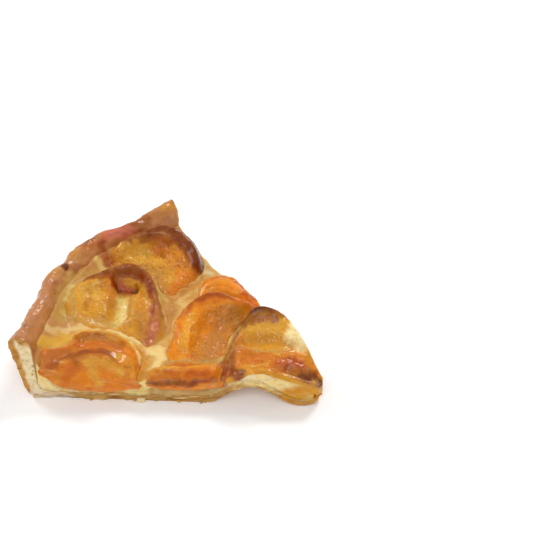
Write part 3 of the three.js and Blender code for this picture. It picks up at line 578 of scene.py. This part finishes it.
def inside(x, y):
    distance, degrees = polar(x, y)
    front, back = cut_distances(x, y)
    held = np.clip(degrees, BACK_CUT, FRONT_CUT)
    wall = rim_reach(held) - rim_value(WALL, held) - FRUIT_WALL_GAP - distance
    return np.minimum(np.minimum(front, back), np.minimum(wall, distance - TIP_START))


# ---- meshes -------------------------------------------------------------------------------
def block(counts):
    """The surface of a block of counts points a side: (place from 0 to 1, quads)."""
    grid = np.indices(counts).reshape(3, -1).T
    last = np.array(counts) - 1
    outer = ((grid == 0) | (grid == last)).any(axis=1)
    number = np.full(len(grid), -1)
    number[outer] = np.arange(outer.sum())
    number = number.reshape(counts)
    quads = []
    for axis in range(3):
        for end in (0, last[axis]):
            sheet = np.take(number, end, axis)
            corners = [sheet[:-1, :-1], sheet[1:, :-1], sheet[1:, 1:], sheet[:-1, 1:]]
            if (end == 0) != (axis == 1):
                corners.reverse()
            quads.append(np.stack(corners, axis=-1).reshape(-1, 4))
    return grid[outer], np.concatenate(quads)


def vertex_normals(points, quads):
    a, b, c, d = (points[quads[:, k]] for k in range(4))
    face = np.cross(c - a, d - b)
    total = np.zeros_like(points)
    for k in range(4):
        np.add.at(total, quads[:, k], face)
    return total / np.maximum(np.linalg.norm(total, axis=1, keepdims=True), 1e-9)


def turned_out(points, quads):
    """The quads of a closed mesh so turned that they face outwards, and its vertex normals."""
    normals = vertex_normals(points, quads)
    if ((points - points.mean(axis=0)) * normals).sum() < 0:
        return quads[:, ::-1], -normals
    return quads, normals


def linear(name):
    """A named colour in linear light, less the white that its gloss adds to it."""
    code = COLOURS[name]
    seen = np.array([(int(code[k:k + 2], 16) / 255) ** 2.2 for k in (0, 2, 4)])
    return np.maximum(seen - GLOSS_HAZE, 0.002)


def stained(tint, colour, share):
    """tint with a named colour laid over it by a share for each point."""
    return mix(tint, linear(colour), share[:, None])


def clouds(points, size, octaves, seed, low, high=0.9):
    """A share for each point, 0 where noise is under low and 1 where it is over high."""
    return smooth(fractal(points, size, octaves, seed), low, high)


def painted(points, tint, strokes, seed, warp=0.9):
    """tint with strokes laid over it, their edges broken up by noise."""
    shift = np.stack([noise(points, 2.6, seed + k) for k in range(3)], axis=-1)
    fine = np.stack([noise(points, 0.9, seed + 5 + k) for k in range(3)], axis=-1)
    bent = points + warp * shift + 0.4 * warp * fine
    patchy = 0.82 + 0.18 * noise(points, 1.7, seed + 9)
    for colour, width, strength, path in strokes:
        share = 1 - smooth(distance_to(bent, path), 0.3 * width, 1.15 * width)
        tint = stained(tint, colour, strength * share * patchy)
    return tint


def added(name, data):
    """A new object in the scene with that mesh, camera or light."""
    thing = bpy.data.objects.new(name, data)
    bpy.context.scene.collection.objects.link(thing)
    return thing


def make_piece(name, points, quads, tint, wet):
    """A closed mesh in the frame from drawing points, with its colours and its wetness."""
    placed = np.clip((points - (*CENTRE, 0)) * MM, *np.array(CAD_BOX))
    mesh = bpy.data.meshes.new(name)
    mesh.from_pydata(placed.tolist(), [], quads.tolist())
    mesh.shade_smooth()
    colours = np.ones((len(points), 4), np.float32)
    colours[:, :3] = np.clip(tint, 0, 1)
    mesh.color_attributes.new("tint", "FLOAT_COLOR", "POINT")
    mesh.color_attributes["tint"].data.foreach_set("color", colours.ravel())
    mesh.attributes.new("wet", "FLOAT", "POINT")
    mesh.attributes["wet"].data.foreach_set("value", np.clip(wet, 0, 1).astype(np.float32))
    return added(name, mesh)


# ---- crust --------------------------------------------------------------------------------
def wall_path(controls):
    """The wall's part of a section from its control points, for every direction at once."""
    held = np.stack([np.stack(np.broadcast_arrays(d, z), -1) for d, z in controls])
    path = curve(held, False, CRUST_COUNTS["wall"] + 1)
    path[..., 1] = np.maximum(path[..., 1], 0)
    return path


def crust_paths(degrees):
    """The lower, outer and the upper, inner path of the section in each direction."""
    reach = rim_reach(degrees)
    wall = reach - rim_value(WALL, degrees)
    crest = rim_value(CREST, degrees)
    base = BASE_THICK
    outer = wall_path([
        (reach - 9.5, 0), (reach - 7, 1.2), (reach - 4.8, 5), (reach - 3.4, 11),
        (reach - 1.8, 19), (reach - 0.5, crest - 5), (reach, crest - 2),
        (reach - 1.6, crest - 0.2)])
    inner = wall_path([
        (wall - 7, base), (wall - 2.6, base + 0.8), (wall - 0.6, base + 3.5), (wall, 13),
        (wall + 0.4, 19), (wall + 1.2, crest - 4.5), (mix(wall, reach, 0.4), crest - 1.3),
        (mix(wall, reach, 0.65), crest)])
    paths = []
    for start, height, path in ((TIP_START, 0, outer), (TIP_START + 1.2, base, inner)):
        share = np.linspace(0, 1, CRUST_COUNTS["base"], endpoint=False)[:, None]
        distance = mix(start, path[0, :, 0], share)
        curl = np.clip(1 - (distance - TIP_START) / TIP_CURL["length"], 0, 1) ** 2
        rise = height + TIP_CURL["rise"] * curl * (0.5 if height else 1)
        whole = np.concatenate([np.stack([distance, rise], -1), path])
        whole[..., 1] += lift(whole[..., 0])
        paths.append(whole)
    return paths


def crust_tint(points, distance, across, up, blister):
    """Browning of the outside, with painted shade on the rim's outward face and, in places, a painted sheen
    and a painted pinkish reflection.
    """
    tint = stained(np.tile(linear("rim"), (len(points), 1)), "skin", 1 - smooth(points[:, 2], 8, 24))
    toast = clouds(points, 7, 3, 61, -0.1)
    tint = stained(tint, "rim_dark", 0.75 * toast)
    tint = stained(tint, "rim_light", 0.6 * clouds(points, 5, 3, 71, 0.1))
    bottom = 1 - smooth(points[:, 2] - lift(distance), 0.0, 2.6)
    tint = stained(tint, "straw", 0.7 * bottom * (1 - 0.5 * toast))
    tint = stained(tint, "rim_rose", 0.5 * clouds(points, 4, 3, 63, 0.15))
    # the rim's outward face is made darker: partly baked browning, partly painted shade where the wall turns
    # away towards its outline
    outer_browning_and_shade = (1 - smooth(across, 0, 0.3)) * smooth(up, 0.35, 0.6) * (1 - smooth(up, 0.85, 1))
    tint = stained(tint, "rim_dark", 0.6 * outer_browning_and_shade)
    tint = painted(points, tint, CRUST_STROKES, 81, 1.2)
    return stained(tint, "dark_brown", 0.8 * (np.abs(blister - 0.55) < 0.5))


def crust_cut_tint(points, up, skin, pores, layers):
    """Pale dough inside a golden skin, with flaky layers at the base."""
    dough = stained(linear("dough"), "dough_grey", smooth(noise(points, 2.4, 91), 0, 1))
    dough = stained(dough, "skin", 0.5 * pores * smooth(noise(points, 3, 97), -0.2, 0.8))
    golden = stained(linear("skin"), "straw", smooth(noise(points, 1.6, 99), -0.4, 0.8))
    golden = stained(golden, "skin_dark", 0.6 * smooth(-layers, 0.2, 0.9))
    flaky = stained(linear("flake"), "straw", smooth(layers, -0.2, 0.7))
    flaky = stained(flaky, "dough", 0.8 * smooth(layers, 0.3, 1))
    flaky = stained(flaky, "skin_dark", 0.45 * smooth(-layers, 0.3, 0.9))
    return mix(mix(dough, golden, skin[:, None]), flaky, 1 - smooth(up, 0.0, 0.16)[:, None])


def make_crust():
    along = CRUST_COUNTS["base"] + CRUST_COUNTS["wall"] + 1
    place, quads = block((along, CRUST_COUNTS["round"], CRUST_COUNTS["across"]))
    degrees = np.linspace(FRONT_CUT, BACK_CUT, CRUST_COUNTS["round"])
    outer, inner = crust_paths(degrees)
    i, j, k = place.T
    across = k / (CRUST_COUNTS["across"] - 1)
    section = mix(outer[i, j], inner[i, j], across[:, None])
    points = from_apex(section[:, 0], degrees[j], section[:, 1])
    quads, normals = turned_out(points, quads)
    cut = (j == 0) | (j == CRUST_COUNTS["round"] - 1)
    up = np.maximum(i - CRUST_COUNTS["base"], 0) / CRUST_COUNTS["wall"]
    spread = across - 0.1 * noise(points, 2.1, 43) - 0.1 * smooth(up, 0.7, 0.95)
    skin = np.maximum(1 - smooth(spread, 0.23, 0.4), 0.7 * smooth(across, 0.92, 1))
    skin = np.maximum(skin, smooth(up + 0.05 * noise(points, 1.6, 44), 0.88, 0.97))
    skin = np.maximum(skin, smooth(across, 0.5, 0.75) * smooth(up, 0.68, 0.84))
    crumb = cut * (1 - skin)

    floor_fade = smooth(points[:, 2] - lift(section[:, 0]), 0.2, 2.0)
    rim = smooth(up, 0.45, 0.8)
    pores = 1 - smooth(cells(points, 1.5, 31), 0.1, 0.55)
    fine_pores = 1 - smooth(cells(points, 0.8, 47), 0.1, 0.5)
    flakes = noise(points * (0.3, 0.3, 1.6), 1.3, 3)
    amount = 0.75 * fractal(points, 7, 3, 11) * rim + 0.22 * fractal(points, 2.2, 2, 19) * rim
    amount += floor_fade * (1 - rim) * (1 - cut) * (0.35 * flakes + 0.25 * fractal(points, 2, 2, 5))
    low_cut = cut * (1 - smooth(up, 0.05, 0.3))
    amount -= crumb * (1 - 0.8 * low_cut) * (0.5 + 0.75 * pores + 0.3 * fine_pores)
    amount += cut * skin * (0.35 * noise(points, 1.4, 23) - 0.15)
    blister = np.linalg.norm(points - RIM_BLISTER["middle"], axis=1) / RIM_BLISTER["radius"]
    amount += RIM_BLISTER["height"] * np.clip(1 - blister ** 2, 0, 1) ** 0.5
    layers = fractal(points * (0.28, 0.28, 1.3), 1.5, 3, 8)
    amount += low_cut * (0.8 * layers + 0.35 * noise(points, 1.1, 45))
    points = points + normals * amount[:, None]
    points[:, 2] = np.maximum(points[:, 2], 0)

    baked = crust_tint(points, section[:, 0], across, up, blister)
    tint = np.where(cut[:, None], crust_cut_tint(points, up, skin, pores, layers), baked)
    tint = painted(points, tint, BASE_STROKES, 85, 0.8)
    wet = rim * (1 - crumb) * (1 - 0.8 * cut) * 0.95
    wet = np.maximum(wet, 0.9 * smooth(points[:, 0], 36, 42) * (1 - smooth(points[:, 2], 8, 12)))
    return make_piece("crust_pastry", points, quads, tint, wet)


# ---- custard ------------------------------------------------------------------------------
def outline_radius(outline, middle, x, y):
    """Distance from middle to the outline in the direction of each point."""
    dx, dy = outline[:, 0] - middle[0], outline[:, 1] - middle[1]
    angles = np.arctan2(dy, dx)
    order = np.argsort(angles)
    wrapped = angles[order]
    radius = np.hypot(dx, dy)[order]
    height = outline[order, 2]
    turn = np.arctan2(y - middle[1], x - middle[0])
    return (np.interp(turn, wrapped, radius, period=2 * np.pi),
            np.interp(turn, wrapped, height, period=2 * np.pi))


def custard_levels(flat, distance, degrees, edge):
    """The underside, the upper side and how near each point is to a piece of fruit, 1 to 0."""
    high = custard_top(np.minimum(distance, edge - CUSTARD_IN_WALL), degrees)
    high = high + 0.5 * fractal(flat, 6, 3, 7) + 0.18 * noise(flat, 1.6, 9)
    ragged = noise(flat, 2.4, 41) + 0.5 * noise(flat, 1.1, 42)
    sunk, near = np.zeros(len(flat)), np.zeros(len(flat))
    for piece in FRUIT.values():
        outline = fruit_outline(piece, 160)
        radius, lip = outline_radius(outline, piece["middle"], flat[:, 0], flat[:, 1])
        away = np.hypot(*(flat[:, :2] - piece["middle"]).T) - radius
        rise = np.clip(lip - 0.6 - high, 0, 6)
        high = high + 0.85 * rise * np.exp(-np.maximum(away, 0) / 1.9)
        high = high + 0.8 * ragged * np.exp(-np.abs(away + 0.5) / 1.6)
        near = np.maximum(near, np.exp(-np.maximum(away, 0) / 2))
        sunk = np.maximum(sunk, smooth(-away, 1.2, 3.6))
    curl = np.clip(1 - (distance - TIP_START) / TIP_CURL["length"], 0, 1) ** 2
    in_crust = BASE_THICK - 1 + 0.5 * TIP_CURL["rise"] * curl
    low = in_crust + lift(distance) + 5.5 * smooth(distance, edge - 5, edge)
    high = mix(high, np.minimum(high, low + 2), sunk)
    by_cut = 1 - smooth(cut_distances(flat[:, 0], flat[:, 1])[0], 1.0, 2.4)
    hem = np.interp(flat[:, 0], *np.array(FRUIT["apricot_tip"]["hem"]).T)
    by_tip = by_cut * smooth(flat[:, 0], 22, 24)
    high = np.maximum(high, mix(low, hem + 0.3, by_tip))
    return low, np.maximum(high, low + 0.5), near


def custard_tint(points, near, from_wall):
    """Browning of the upper side, stained with juice by the fruit and by the wall."""
    tint = np.tile(linear("custard"), (len(points), 1))
    tint = stained(tint, "straw", 0.7 * clouds(points, 6, 3, 21, 0))
    tint = stained(tint, "cream", 0.5 * clouds(points, 4, 2, 25, 0.2))
    tint = stained(tint, "amber", 0.75 * clouds(points, 3.5, 2, 27, -0.3, 0.7) * near)
    tint = stained(tint, "juice", 0.45 * clouds(points, 2.2, 3, 51, 0.1))
    tint = stained(tint, "rim", 0.75 * np.exp(-np.maximum(from_wall, 0) / 3.6))
    return painted(points, tint, CUSTARD_STROKES, 29, 1.2)


def custard_cut_tint(points):
    tint = stained(linear("cream"), "dough", smooth(noise(points, 2, 33), -0.4, 0.8))
    tint = stained(tint, "straw", 0.5 * smooth(noise(points, 1.2, 37), 0, 0.9))
    return painted(points, tint, CUT_STROKES, 39)


def make_custard():
    counts = tuple(CUSTARD_COUNTS.values())
    place, quads = block(counts)
    u, v, w = (place / (np.array(counts) - 1)).T
    degrees = mix(FRONT_CUT, BACK_CUT, v)
    edge = rim_reach(degrees) - rim_value(WALL, degrees) + CUSTARD_IN_WALL
    distance = mix(CUSTARD_START, edge, u)
    flat = from_apex(distance, degrees, 0 * u)
    low, high, near = custard_levels(flat, distance, degrees, edge)
    points = from_apex(distance, degrees, mix(low, high, w))
    quads, normals = turned_out(points, quads)
    cut = (v == 0) | (v == 1)
    holes = 1 - smooth(cells(points, 1.7, 5), 0.1, 0.45)
    in_wall = smooth(distance, edge - CUSTARD_IN_WALL - 0.6, edge - CUSTARD_IN_WALL + 0.4)
    amount = cut * (0.15 * noise(points, 1.8, 3) - 0.3 * holes - 0.3 - 1.4 * in_wall)
    points = points + normals * amount[:, None]
    from_wall = edge - 4.5 - distance + 2 * noise(flat, 4, 43)
    tint = np.where(cut[:, None], custard_cut_tint(points), custard_tint(points, near, from_wall))
    wet = np.where(cut, 0.25 + 0.75 * smooth(points[:, 0], 42, 47), 0.5 + 0.3 * noise(points, 3, 35))
    return make_piece("custard_filling", points, quads, tint, wet)


# ---- fruit --------------------------------------------------------------------------------
def fruit_outline(piece, samples):
    """Outline points, drawn in to the two cuts and the rim where they would cross them."""
    outline = curve(piece["edge"], True, samples)
    cx, cy = piece["middle"]
    flat = outline * (1, 1, 0)
    wave = 1 + 0.022 * noise(flat, 5, 3) + 0.012 * noise(flat, 2, 4)
    outline[:, :2] = mix(np.array([cx, cy]), outline[:, :2], wave[:, None])
    low, high = np.zeros(samples), np.ones(samples)
    for _ in range(20):
        share = (low + high) / 2
        within = inside(mix(cx, outline[:, 0], share), mix(cy, outline[:, 1], share)) > 0
        low, high = np.where(within, share, low), np.where(within, high, share)
    reach = np.where(high > 0.999, 1, low)
    x, y = mix(cx, outline[:, 0], reach), mix(cy, outline[:, 1], reach)
    return np.stack([x, y, outline[:, 2]], axis=-1)


def blended_height(flat, guides):
    """Height from curves of known height, the nearer the stronger. guides: (soft, samples)."""
    weight, total = 0, 0
    for soft, samples in guides:
        step = np.linalg.norm(np.diff(samples[:, :2], axis=0, append=samples[-1:, :2]), axis=1)
        step[-1] = step[-2]
        for (x, y, z), length in zip(samples, step):
            apart = (flat[:, 0] - x) ** 2 + (flat[:, 1] - y) ** 2
            share = length / (apart + soft ** 2) ** 2
            weight = weight + share
            total = total + share * z
    return total / weight


def ring_quads(rings, count):
    """Quads between each ring of count points and the next."""
    i = np.arange(count)
    after = (i + 1) % count
    rows = np.arange(rings - 1)[:, None] * count
    sides = np.stack([rows + i, rows + count + i, rows + count + after, rows + after], -1)
    return sides.reshape(-1, 4)


def end_fan(ring, middle, count, flip):
    """Quads, two steps wide, that close a ring of an even count to one middle point."""
    i = np.arange(0, count, 2)
    fan = np.stack([np.full(len(i), middle), ring + i, ring + i + 1, ring + (i + 2) % count], -1)
    return fan[:, ::-1] if flip else fan


def around(values, reach):
    """Values of a closed outline, each averaged with its neighbours up to reach away."""
    return np.mean([np.roll(values, k) for k in range(-reach, reach + 1)], axis=0)


def fruit_top(piece, outline, soft_edge, seed):
    """Points of the upper side by rings, how far each is from the edge, and the floor below."""
    count, radial, _ = piece["counts"].values()
    middle = np.array(piece["middle"], float)
    guides = [(soft, curve(path, False, 24)) for soft, path in piece["lines"]]
    guides.append((1.0, outline[::2]))
    shares = np.linspace(0, 1, radial + 1)[1:] ** 0.8
    rings = mix(middle, outline[None, :, :2], shares[:, None, None])
    plan = np.concatenate([middle[None], rings.reshape(-1, 2)])
    share = np.concatenate([[0], np.repeat(shares, count)])
    flat = np.concatenate([plan, np.zeros((len(plan), 1))], axis=1)
    z = blended_height(flat, guides)
    bumpy = flat + 0.5 * noise(flat, 3, seed)[:, None]
    for height, width, path in piece["ridges"]:
        z += height * np.clip(1 - (distance_to(bumpy, path) / width / 1.3) ** 2, 0, 1) ** 2
    radius = np.concatenate([[9], np.tile(np.hypot(*(outline[:, :2] - middle).T), radial)])
    from_edge = (1 - share) * radius
    rounding = np.concatenate([[2], np.tile(soft_edge, radial)])
    bend = np.clip(1 - from_edge / rounding, 0, 1)
    z -= 0.9 * rounding * (1 - np.sqrt(1 - bend ** 2 * 0.999))
    ground = FRUIT_FLOOR + lift(polar(flat[:, 0], flat[:, 1])[0])
    return np.column_stack([plan, np.maximum(z, ground + FRUIT_THIN)]), from_edge, ground


def fruit_walls(piece, outline, edge_top, ground, front, on_front, on_back):
    """Points of the side by rows below the edge, and one in the middle of the underside."""
    edge_low = ground - 1
    if "hem" in piece:
        hem = np.interp(outline[:, 0], *np.array(piece["hem"]).T)
        edge_low = np.where(front < 2.5, np.minimum(hem, edge_top - 0.8), edge_low)
        edge_low = around(edge_low, 3)
    outward = outline[:, :2] - piece["middle"]
    outward /= np.linalg.norm(outward, axis=1, keepdims=True)
    outward = np.where(on_front[:, None], FRONT_OUT, outward)
    outward = np.where(on_back[:, None], BACK_OUT, outward)
    steps = np.linspace(0, 1, piece["counts"]["side"] + 1)[1:, None]
    bulge = np.where(on_front, piece.get("bulge", 0.3), 0.5)
    belly = bulge * np.sin(np.pi * np.minimum(steps, 0.92) / 0.92) ** 0.8
    belly = belly - 1.1 * (on_front | on_back) * smooth(steps, 0.8, 1)
    wall_xy = outline[None, :, :2] + (belly[..., None] * outward[None])
    wall_z = mix(edge_top, edge_low, steps)
    walls = np.concatenate([wall_xy, wall_z[..., None]], axis=-1).reshape(-1, 3)
    return np.concatenate([walls, [[*piece["middle"], edge_low.min()]]])


def fruit_tint(piece, points, speckled, seed):
    tint = np.tile(linear(piece["flesh"]), (len(points), 1))
    mottle = fractal(points, 4.5, 4, seed + 6)
    tint = stained(tint, "bright_gold", 0.5 * smooth(mottle, 0.1, 0.9))
    tint = stained(tint, "tan", 0.3 * smooth(-mottle, 0.2, 0.9))
    tint = stained(tint, "deep_orange", 0.35 * clouds(points, 2.4, 3, seed + 11, 0.2, 1))
    tint = painted(points, tint, piece["strokes"], seed + 7)
    return stained(tint, "bark", piece.get("speckle", 0.2) * speckled)


def make_fruit(name, piece):
    count, radial, side = piece["counts"].values()
    seed = 100 + 17 * list(FRUIT).index(name)
    outline = fruit_outline(piece, count)
    front, back = cut_distances(outline[:, 0], outline[:, 1])
    on_front, on_back = front < 0.05, back < 0.05
    outline[:, :2] += CUT_PROUD * (on_front[:, None] * FRONT_OUT + on_back[:, None] * BACK_OUT)
    soft_edge = np.where(outline[:, 2] > LIP_HEIGHT, EDGE_ROUND["lip"], EDGE_ROUND["low"])
    soft_edge = around(np.where(on_front | on_back, EDGE_ROUND["cut"], soft_edge), 5)
    top, from_edge, ground = fruit_top(piece, outline, soft_edge, seed)
    walls = fruit_walls(piece, outline, top[-count:, 2], ground[-count:], front, on_front, on_back)
    points = np.concatenate([top, walls])
    rings = radial + side
    first = end_fan(1, 0, count, False)
    last = end_fan(1 + (rings - 1) * count, len(points) - 1, count, True)
    quads = np.concatenate([ring_quads(rings, count) + 1, first, last])
    quads, normals = turned_out(points, quads)

    size, depth = piece["pores"]
    hollow = 1 - smooth(cells(points, size, seed + 1), 0.1, 0.6)
    tiny = 1 - smooth(cells(points, 0.55 * size, seed + 4), 0.1, 0.55)
    lip = [p[:2] for p in piece["lines"][0][1]]
    fleshy = smooth(distance_to(points * (1, 1, 0), lip), 2.2, 6)
    fleshy[len(top):] *= 0.4
    amount = 0.22 * fractal(points, 5, 2, seed + 2) + 0.12 * noise(points, 1.9, seed + 3)
    amount -= fleshy * (depth * hollow + 0.5 * depth * tiny)
    amount[len(top):] *= 0.4
    points = points + normals * amount[:, None]

    tint = fruit_tint(piece, points, fleshy * hollow, seed)
    within = (outline[:, 2] < LIP_HEIGHT) & ~on_front & ~on_back
    low_edge = np.tile(around(within.astype(float), 5), radial)
    film = np.concatenate([[0], low_edge]) * (1 - smooth(from_edge, 0.3, 2.2))
    film *= clouds(points[:len(top)], 3, 2, seed + 9, -0.7, 0.3)
    tint[:len(top)] = stained(tint[:len(top)], "custard", 0.5 * film)
    wet = 0.62 + 0.4 * noise(points, 3, seed + 8) + 0.2 * noise(points, 1.1, seed + 10)
    return make_piece(name + "_flesh", points, quads, tint, wet)


# ---- crumbs -------------------------------------------------------------------------------
def make_crumbs():
    """Crumbs of the base that lie along the front cut, as one joined mesh."""
    place, quads = block((CRUMB_COUNT,) * 3)
    ball = place / (CRUMB_COUNT - 1) * 2 - 1
    ball = ball / np.linalg.norm(ball, axis=1, keepdims=True)
    points, faces, tint = [], [], []
    for number, (x, out, radius, colour) in enumerate(CRUMBS):
        front = APEX[1] + (APEX[0] - x) * math.tan(math.radians(180 - FRONT_CUT))
        middle = np.array([x, front, 0.75 * radius]) + out * np.array([*FRONT_OUT, 0])
        lumpy = radius * (1 + 0.35 * noise(ball + 5 * number, 0.9, 7))
        points.append(middle + ball * lumpy[:, None] * (1.25, 0.85, 0.8))
        faces.append(quads + number * len(ball))
        tint.append(np.tile(linear(colour), (len(ball), 1)))
    points = np.concatenate(points)
    points[:, 2] = np.maximum(points[:, 2], 0)
    faces = turned_out(points, np.concatenate(faces))[0]
    return make_piece("crumbs", points, faces, np.concatenate(tint), np.full(len(points), 0.3))


# ---- materials ----------------------------------------------------------------------------
class Nodes:
    """Short calls for building a node material."""

    def __init__(self, name):
        self.material = bpy.data.materials.new(name)
        self.material.use_nodes = True
        self.tree = self.material.node_tree
        self.shader = self.tree.nodes["Principled BSDF"]

    def add(self, kind, inputs=None, **settings):
        node = self.tree.nodes.new(kind)
        for key, value in settings.items():
            setattr(node, key, value)
        for key, value in (inputs or {}).items():
            self.put(node.inputs[key], value)
        return node

    def put(self, socket, value):
        if isinstance(value, bpy.types.NodeSocket):
            self.tree.links.new(value, socket)
        else:
            socket.default_value = value

    def math(self, operation, a, b):
        return self.add("ShaderNodeMath", {0: a, 1: b}, operation=operation).outputs[0]

    def ranged(self, value, low, high):
        node = self.add("ShaderNodeMapRange", {"Value": value, "To Min": low, "To Max": high})
        return node.outputs["Result"]


def food_material(name, look):
    """Tint and wetness come with the mesh; mottling, sheen and fine relief are made here."""
    nodes = Nodes(name)
    place = nodes.add("ShaderNodeTexCoord").outputs["Object"]
    tint = nodes.add("ShaderNodeAttribute", attribute_name="tint").outputs["Color"]
    wet = nodes.add("ShaderNodeAttribute", attribute_name="wet").outputs["Fac"]

    def texture(size):
        return nodes.add("ShaderNodeTexNoise", {
            "Vector": place, "Scale": 1 / (size * MM), "Detail": 4.0,
            "Roughness": 0.6}).outputs["Fac"]

    coarse, fine = texture(look["mottle"]), texture(look["speck"])
    shade = nodes.ranged(coarse, 1 - look["contrast"], 1 + look["contrast"])
    shade = nodes.math("MULTIPLY", shade, nodes.ranged(fine, 0.86, 1.14))
    colour = nodes.add("ShaderNodeVectorMath", {0: tint}, operation="SCALE")
    nodes.put(colour.inputs["Scale"], shade)
    bump = nodes.add("ShaderNodeBump", {
        "Height": fine, "Strength": look["bump"], "Distance": 0.45 * MM})
    rough = nodes.ranged(wet, look["rough_dry"], look["rough_wet"])
    rough = nodes.math("ADD", rough, nodes.ranged(coarse, -0.08, 0.08))
    settings = {
        "Base Color": colour.outputs["Vector"], "Roughness": rough,
        "Normal": bump.outputs["Normal"],
        "Subsurface Weight": look["deep"], "Subsurface Radius": look["scatter"],
        "Subsurface Scale": 1.0,
        "Coat Weight": nodes.ranged(wet, 0, look["coat"]), "Coat Roughness": 0.07,
        "Coat IOR": 1.4, "IOR": 1.4, "Specular IOR Level": 0.2,
    }
    for key, value in settings.items():
        nodes.put(nodes.shader.inputs[key], value)
    return nodes.material


LOOKS = {
    "pastry": {"mottle": 2.5, "speck": 0.5, "contrast": 0.16, "bump": 0.35, "deep": 0.15,
               "rough_dry": 0.85, "rough_wet": 0.36, "coat": 0.55,
               "scatter": (0.0022, 0.001, 0.0005)},
    "custard": {"mottle": 3.5, "speck": 0.7, "contrast": 0.08, "bump": 0.15, "deep": 0.35,
                "rough_dry": 0.75, "rough_wet": 0.45, "coat": 0.35,
                "scatter": (0.003, 0.0016, 0.0008)},
    "apricot": {"mottle": 2.2, "speck": 0.6, "contrast": 0.18, "bump": 0.42, "deep": 0.3,
                "rough_dry": 0.6, "rough_wet": 0.3, "coat": 0.8,
                "scatter": (0.0028, 0.001, 0.0004)},
}


# ---- stage --------------------------------------------------------------------------------
CAMERA = {"fov": 16, "distance": 0.825, "elevation": 40, "target": (0.04051, 0.03529, 0)}
SENSOR = 36
LIGHTS = [  # name, place and size in metres, power in watts
    ("key_back_right", (0.6, 0.85, 1.2), 0.5, 9.5),
    ("key_back_left", (-0.8, 0.5, 0.8), 0.35, 4.0),
    ("front_soft", (-0.1, -1.0, 1.2), 0.9, 8.0),
]
WORLD_LIGHT = 0.42
FLOOR_SIDE = 4.0
FLOOR_WHITE = 0.97
FLOOR_GLOW = 0.1


def aimed(thing, target, offset):
    """Puts a camera or a light at that offset from its target and turns it there."""
    thing.location = Vector(target) + Vector(offset)
    thing.rotation_mode = "QUATERNION"
    thing.rotation_quaternion = (-Vector(offset)).to_track_quat("-Z", "Y")
    return thing


def make_camera():
    data = bpy.data.cameras.new("camera")
    data.sensor_width = SENSOR
    data.lens = SENSOR / 2 / math.tan(math.radians(CAMERA["fov"] / 2))
    tilt = math.radians(CAMERA["elevation"])
    back = CAMERA["distance"] * Vector((0, -math.cos(tilt), math.sin(tilt)))
    bpy.context.scene.camera = aimed(added("camera", data), CAMERA["target"], back)


def make_lights():
    for name, place, size, power in LIGHTS:
        data = bpy.data.lights.new(name, "AREA")
        data.shape = "DISK"
        data.size = size
        data.energy = power
        aimed(added(name, data), (0, 0, 0), place)
    world = bpy.data.worlds.new("studio")
    world.use_nodes = True
    background = world.node_tree.nodes["Background"]
    background.inputs["Color"].default_value = (1, 1, 1, 1)
    background.inputs["Strength"].default_value = WORLD_LIGHT
    bpy.context.scene.world = world


def make_floor():
    half = FLOOR_SIDE / 2
    mesh = bpy.data.meshes.new("floor")
    corners = [(-half, -half, 0), (half, -half, 0), (half, half, 0), (-half, half, 0)]
    mesh.from_pydata(corners, [], [(0, 1, 2, 3)])
    material = bpy.data.materials.new("floor")
    material.use_nodes = True
    shader = material.node_tree.nodes["Principled BSDF"]
    shader.inputs["Base Color"].default_value = (FLOOR_WHITE,) * 3 + (1,)
    shader.inputs["Roughness"].default_value = 0.9
    shader.inputs["Emission Color"].default_value = (1, 1, 1, 1)
    shader.inputs["Emission Strength"].default_value = FLOOR_GLOW
    shader.inputs["Specular IOR Level"].default_value = 0.1
    mesh.materials.append(material)
    added("floor", mesh)


# ---- the tart -----------------------------------------------------------------------------
def main():
    make_camera()
    make_lights()
    make_floor()
    bpy.context.scene.view_settings.view_transform = "Standard"
    materials = {slot: food_material(slot + "_look", look) for slot, look in LOOKS.items()}
    made = [(make_crust(), "crust", "pastry"), (make_custard(), "custard", "custard")]
    made += [(make_fruit(name, piece), name, "apricot") for name, piece in FRUIT.items()]
    made.append((make_crumbs(), None, "pastry"))
    for piece, node, slot in made:
        piece.data.materials.append(materials[slot])
        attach(piece, "root")
        if node:
            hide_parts(node)


main()
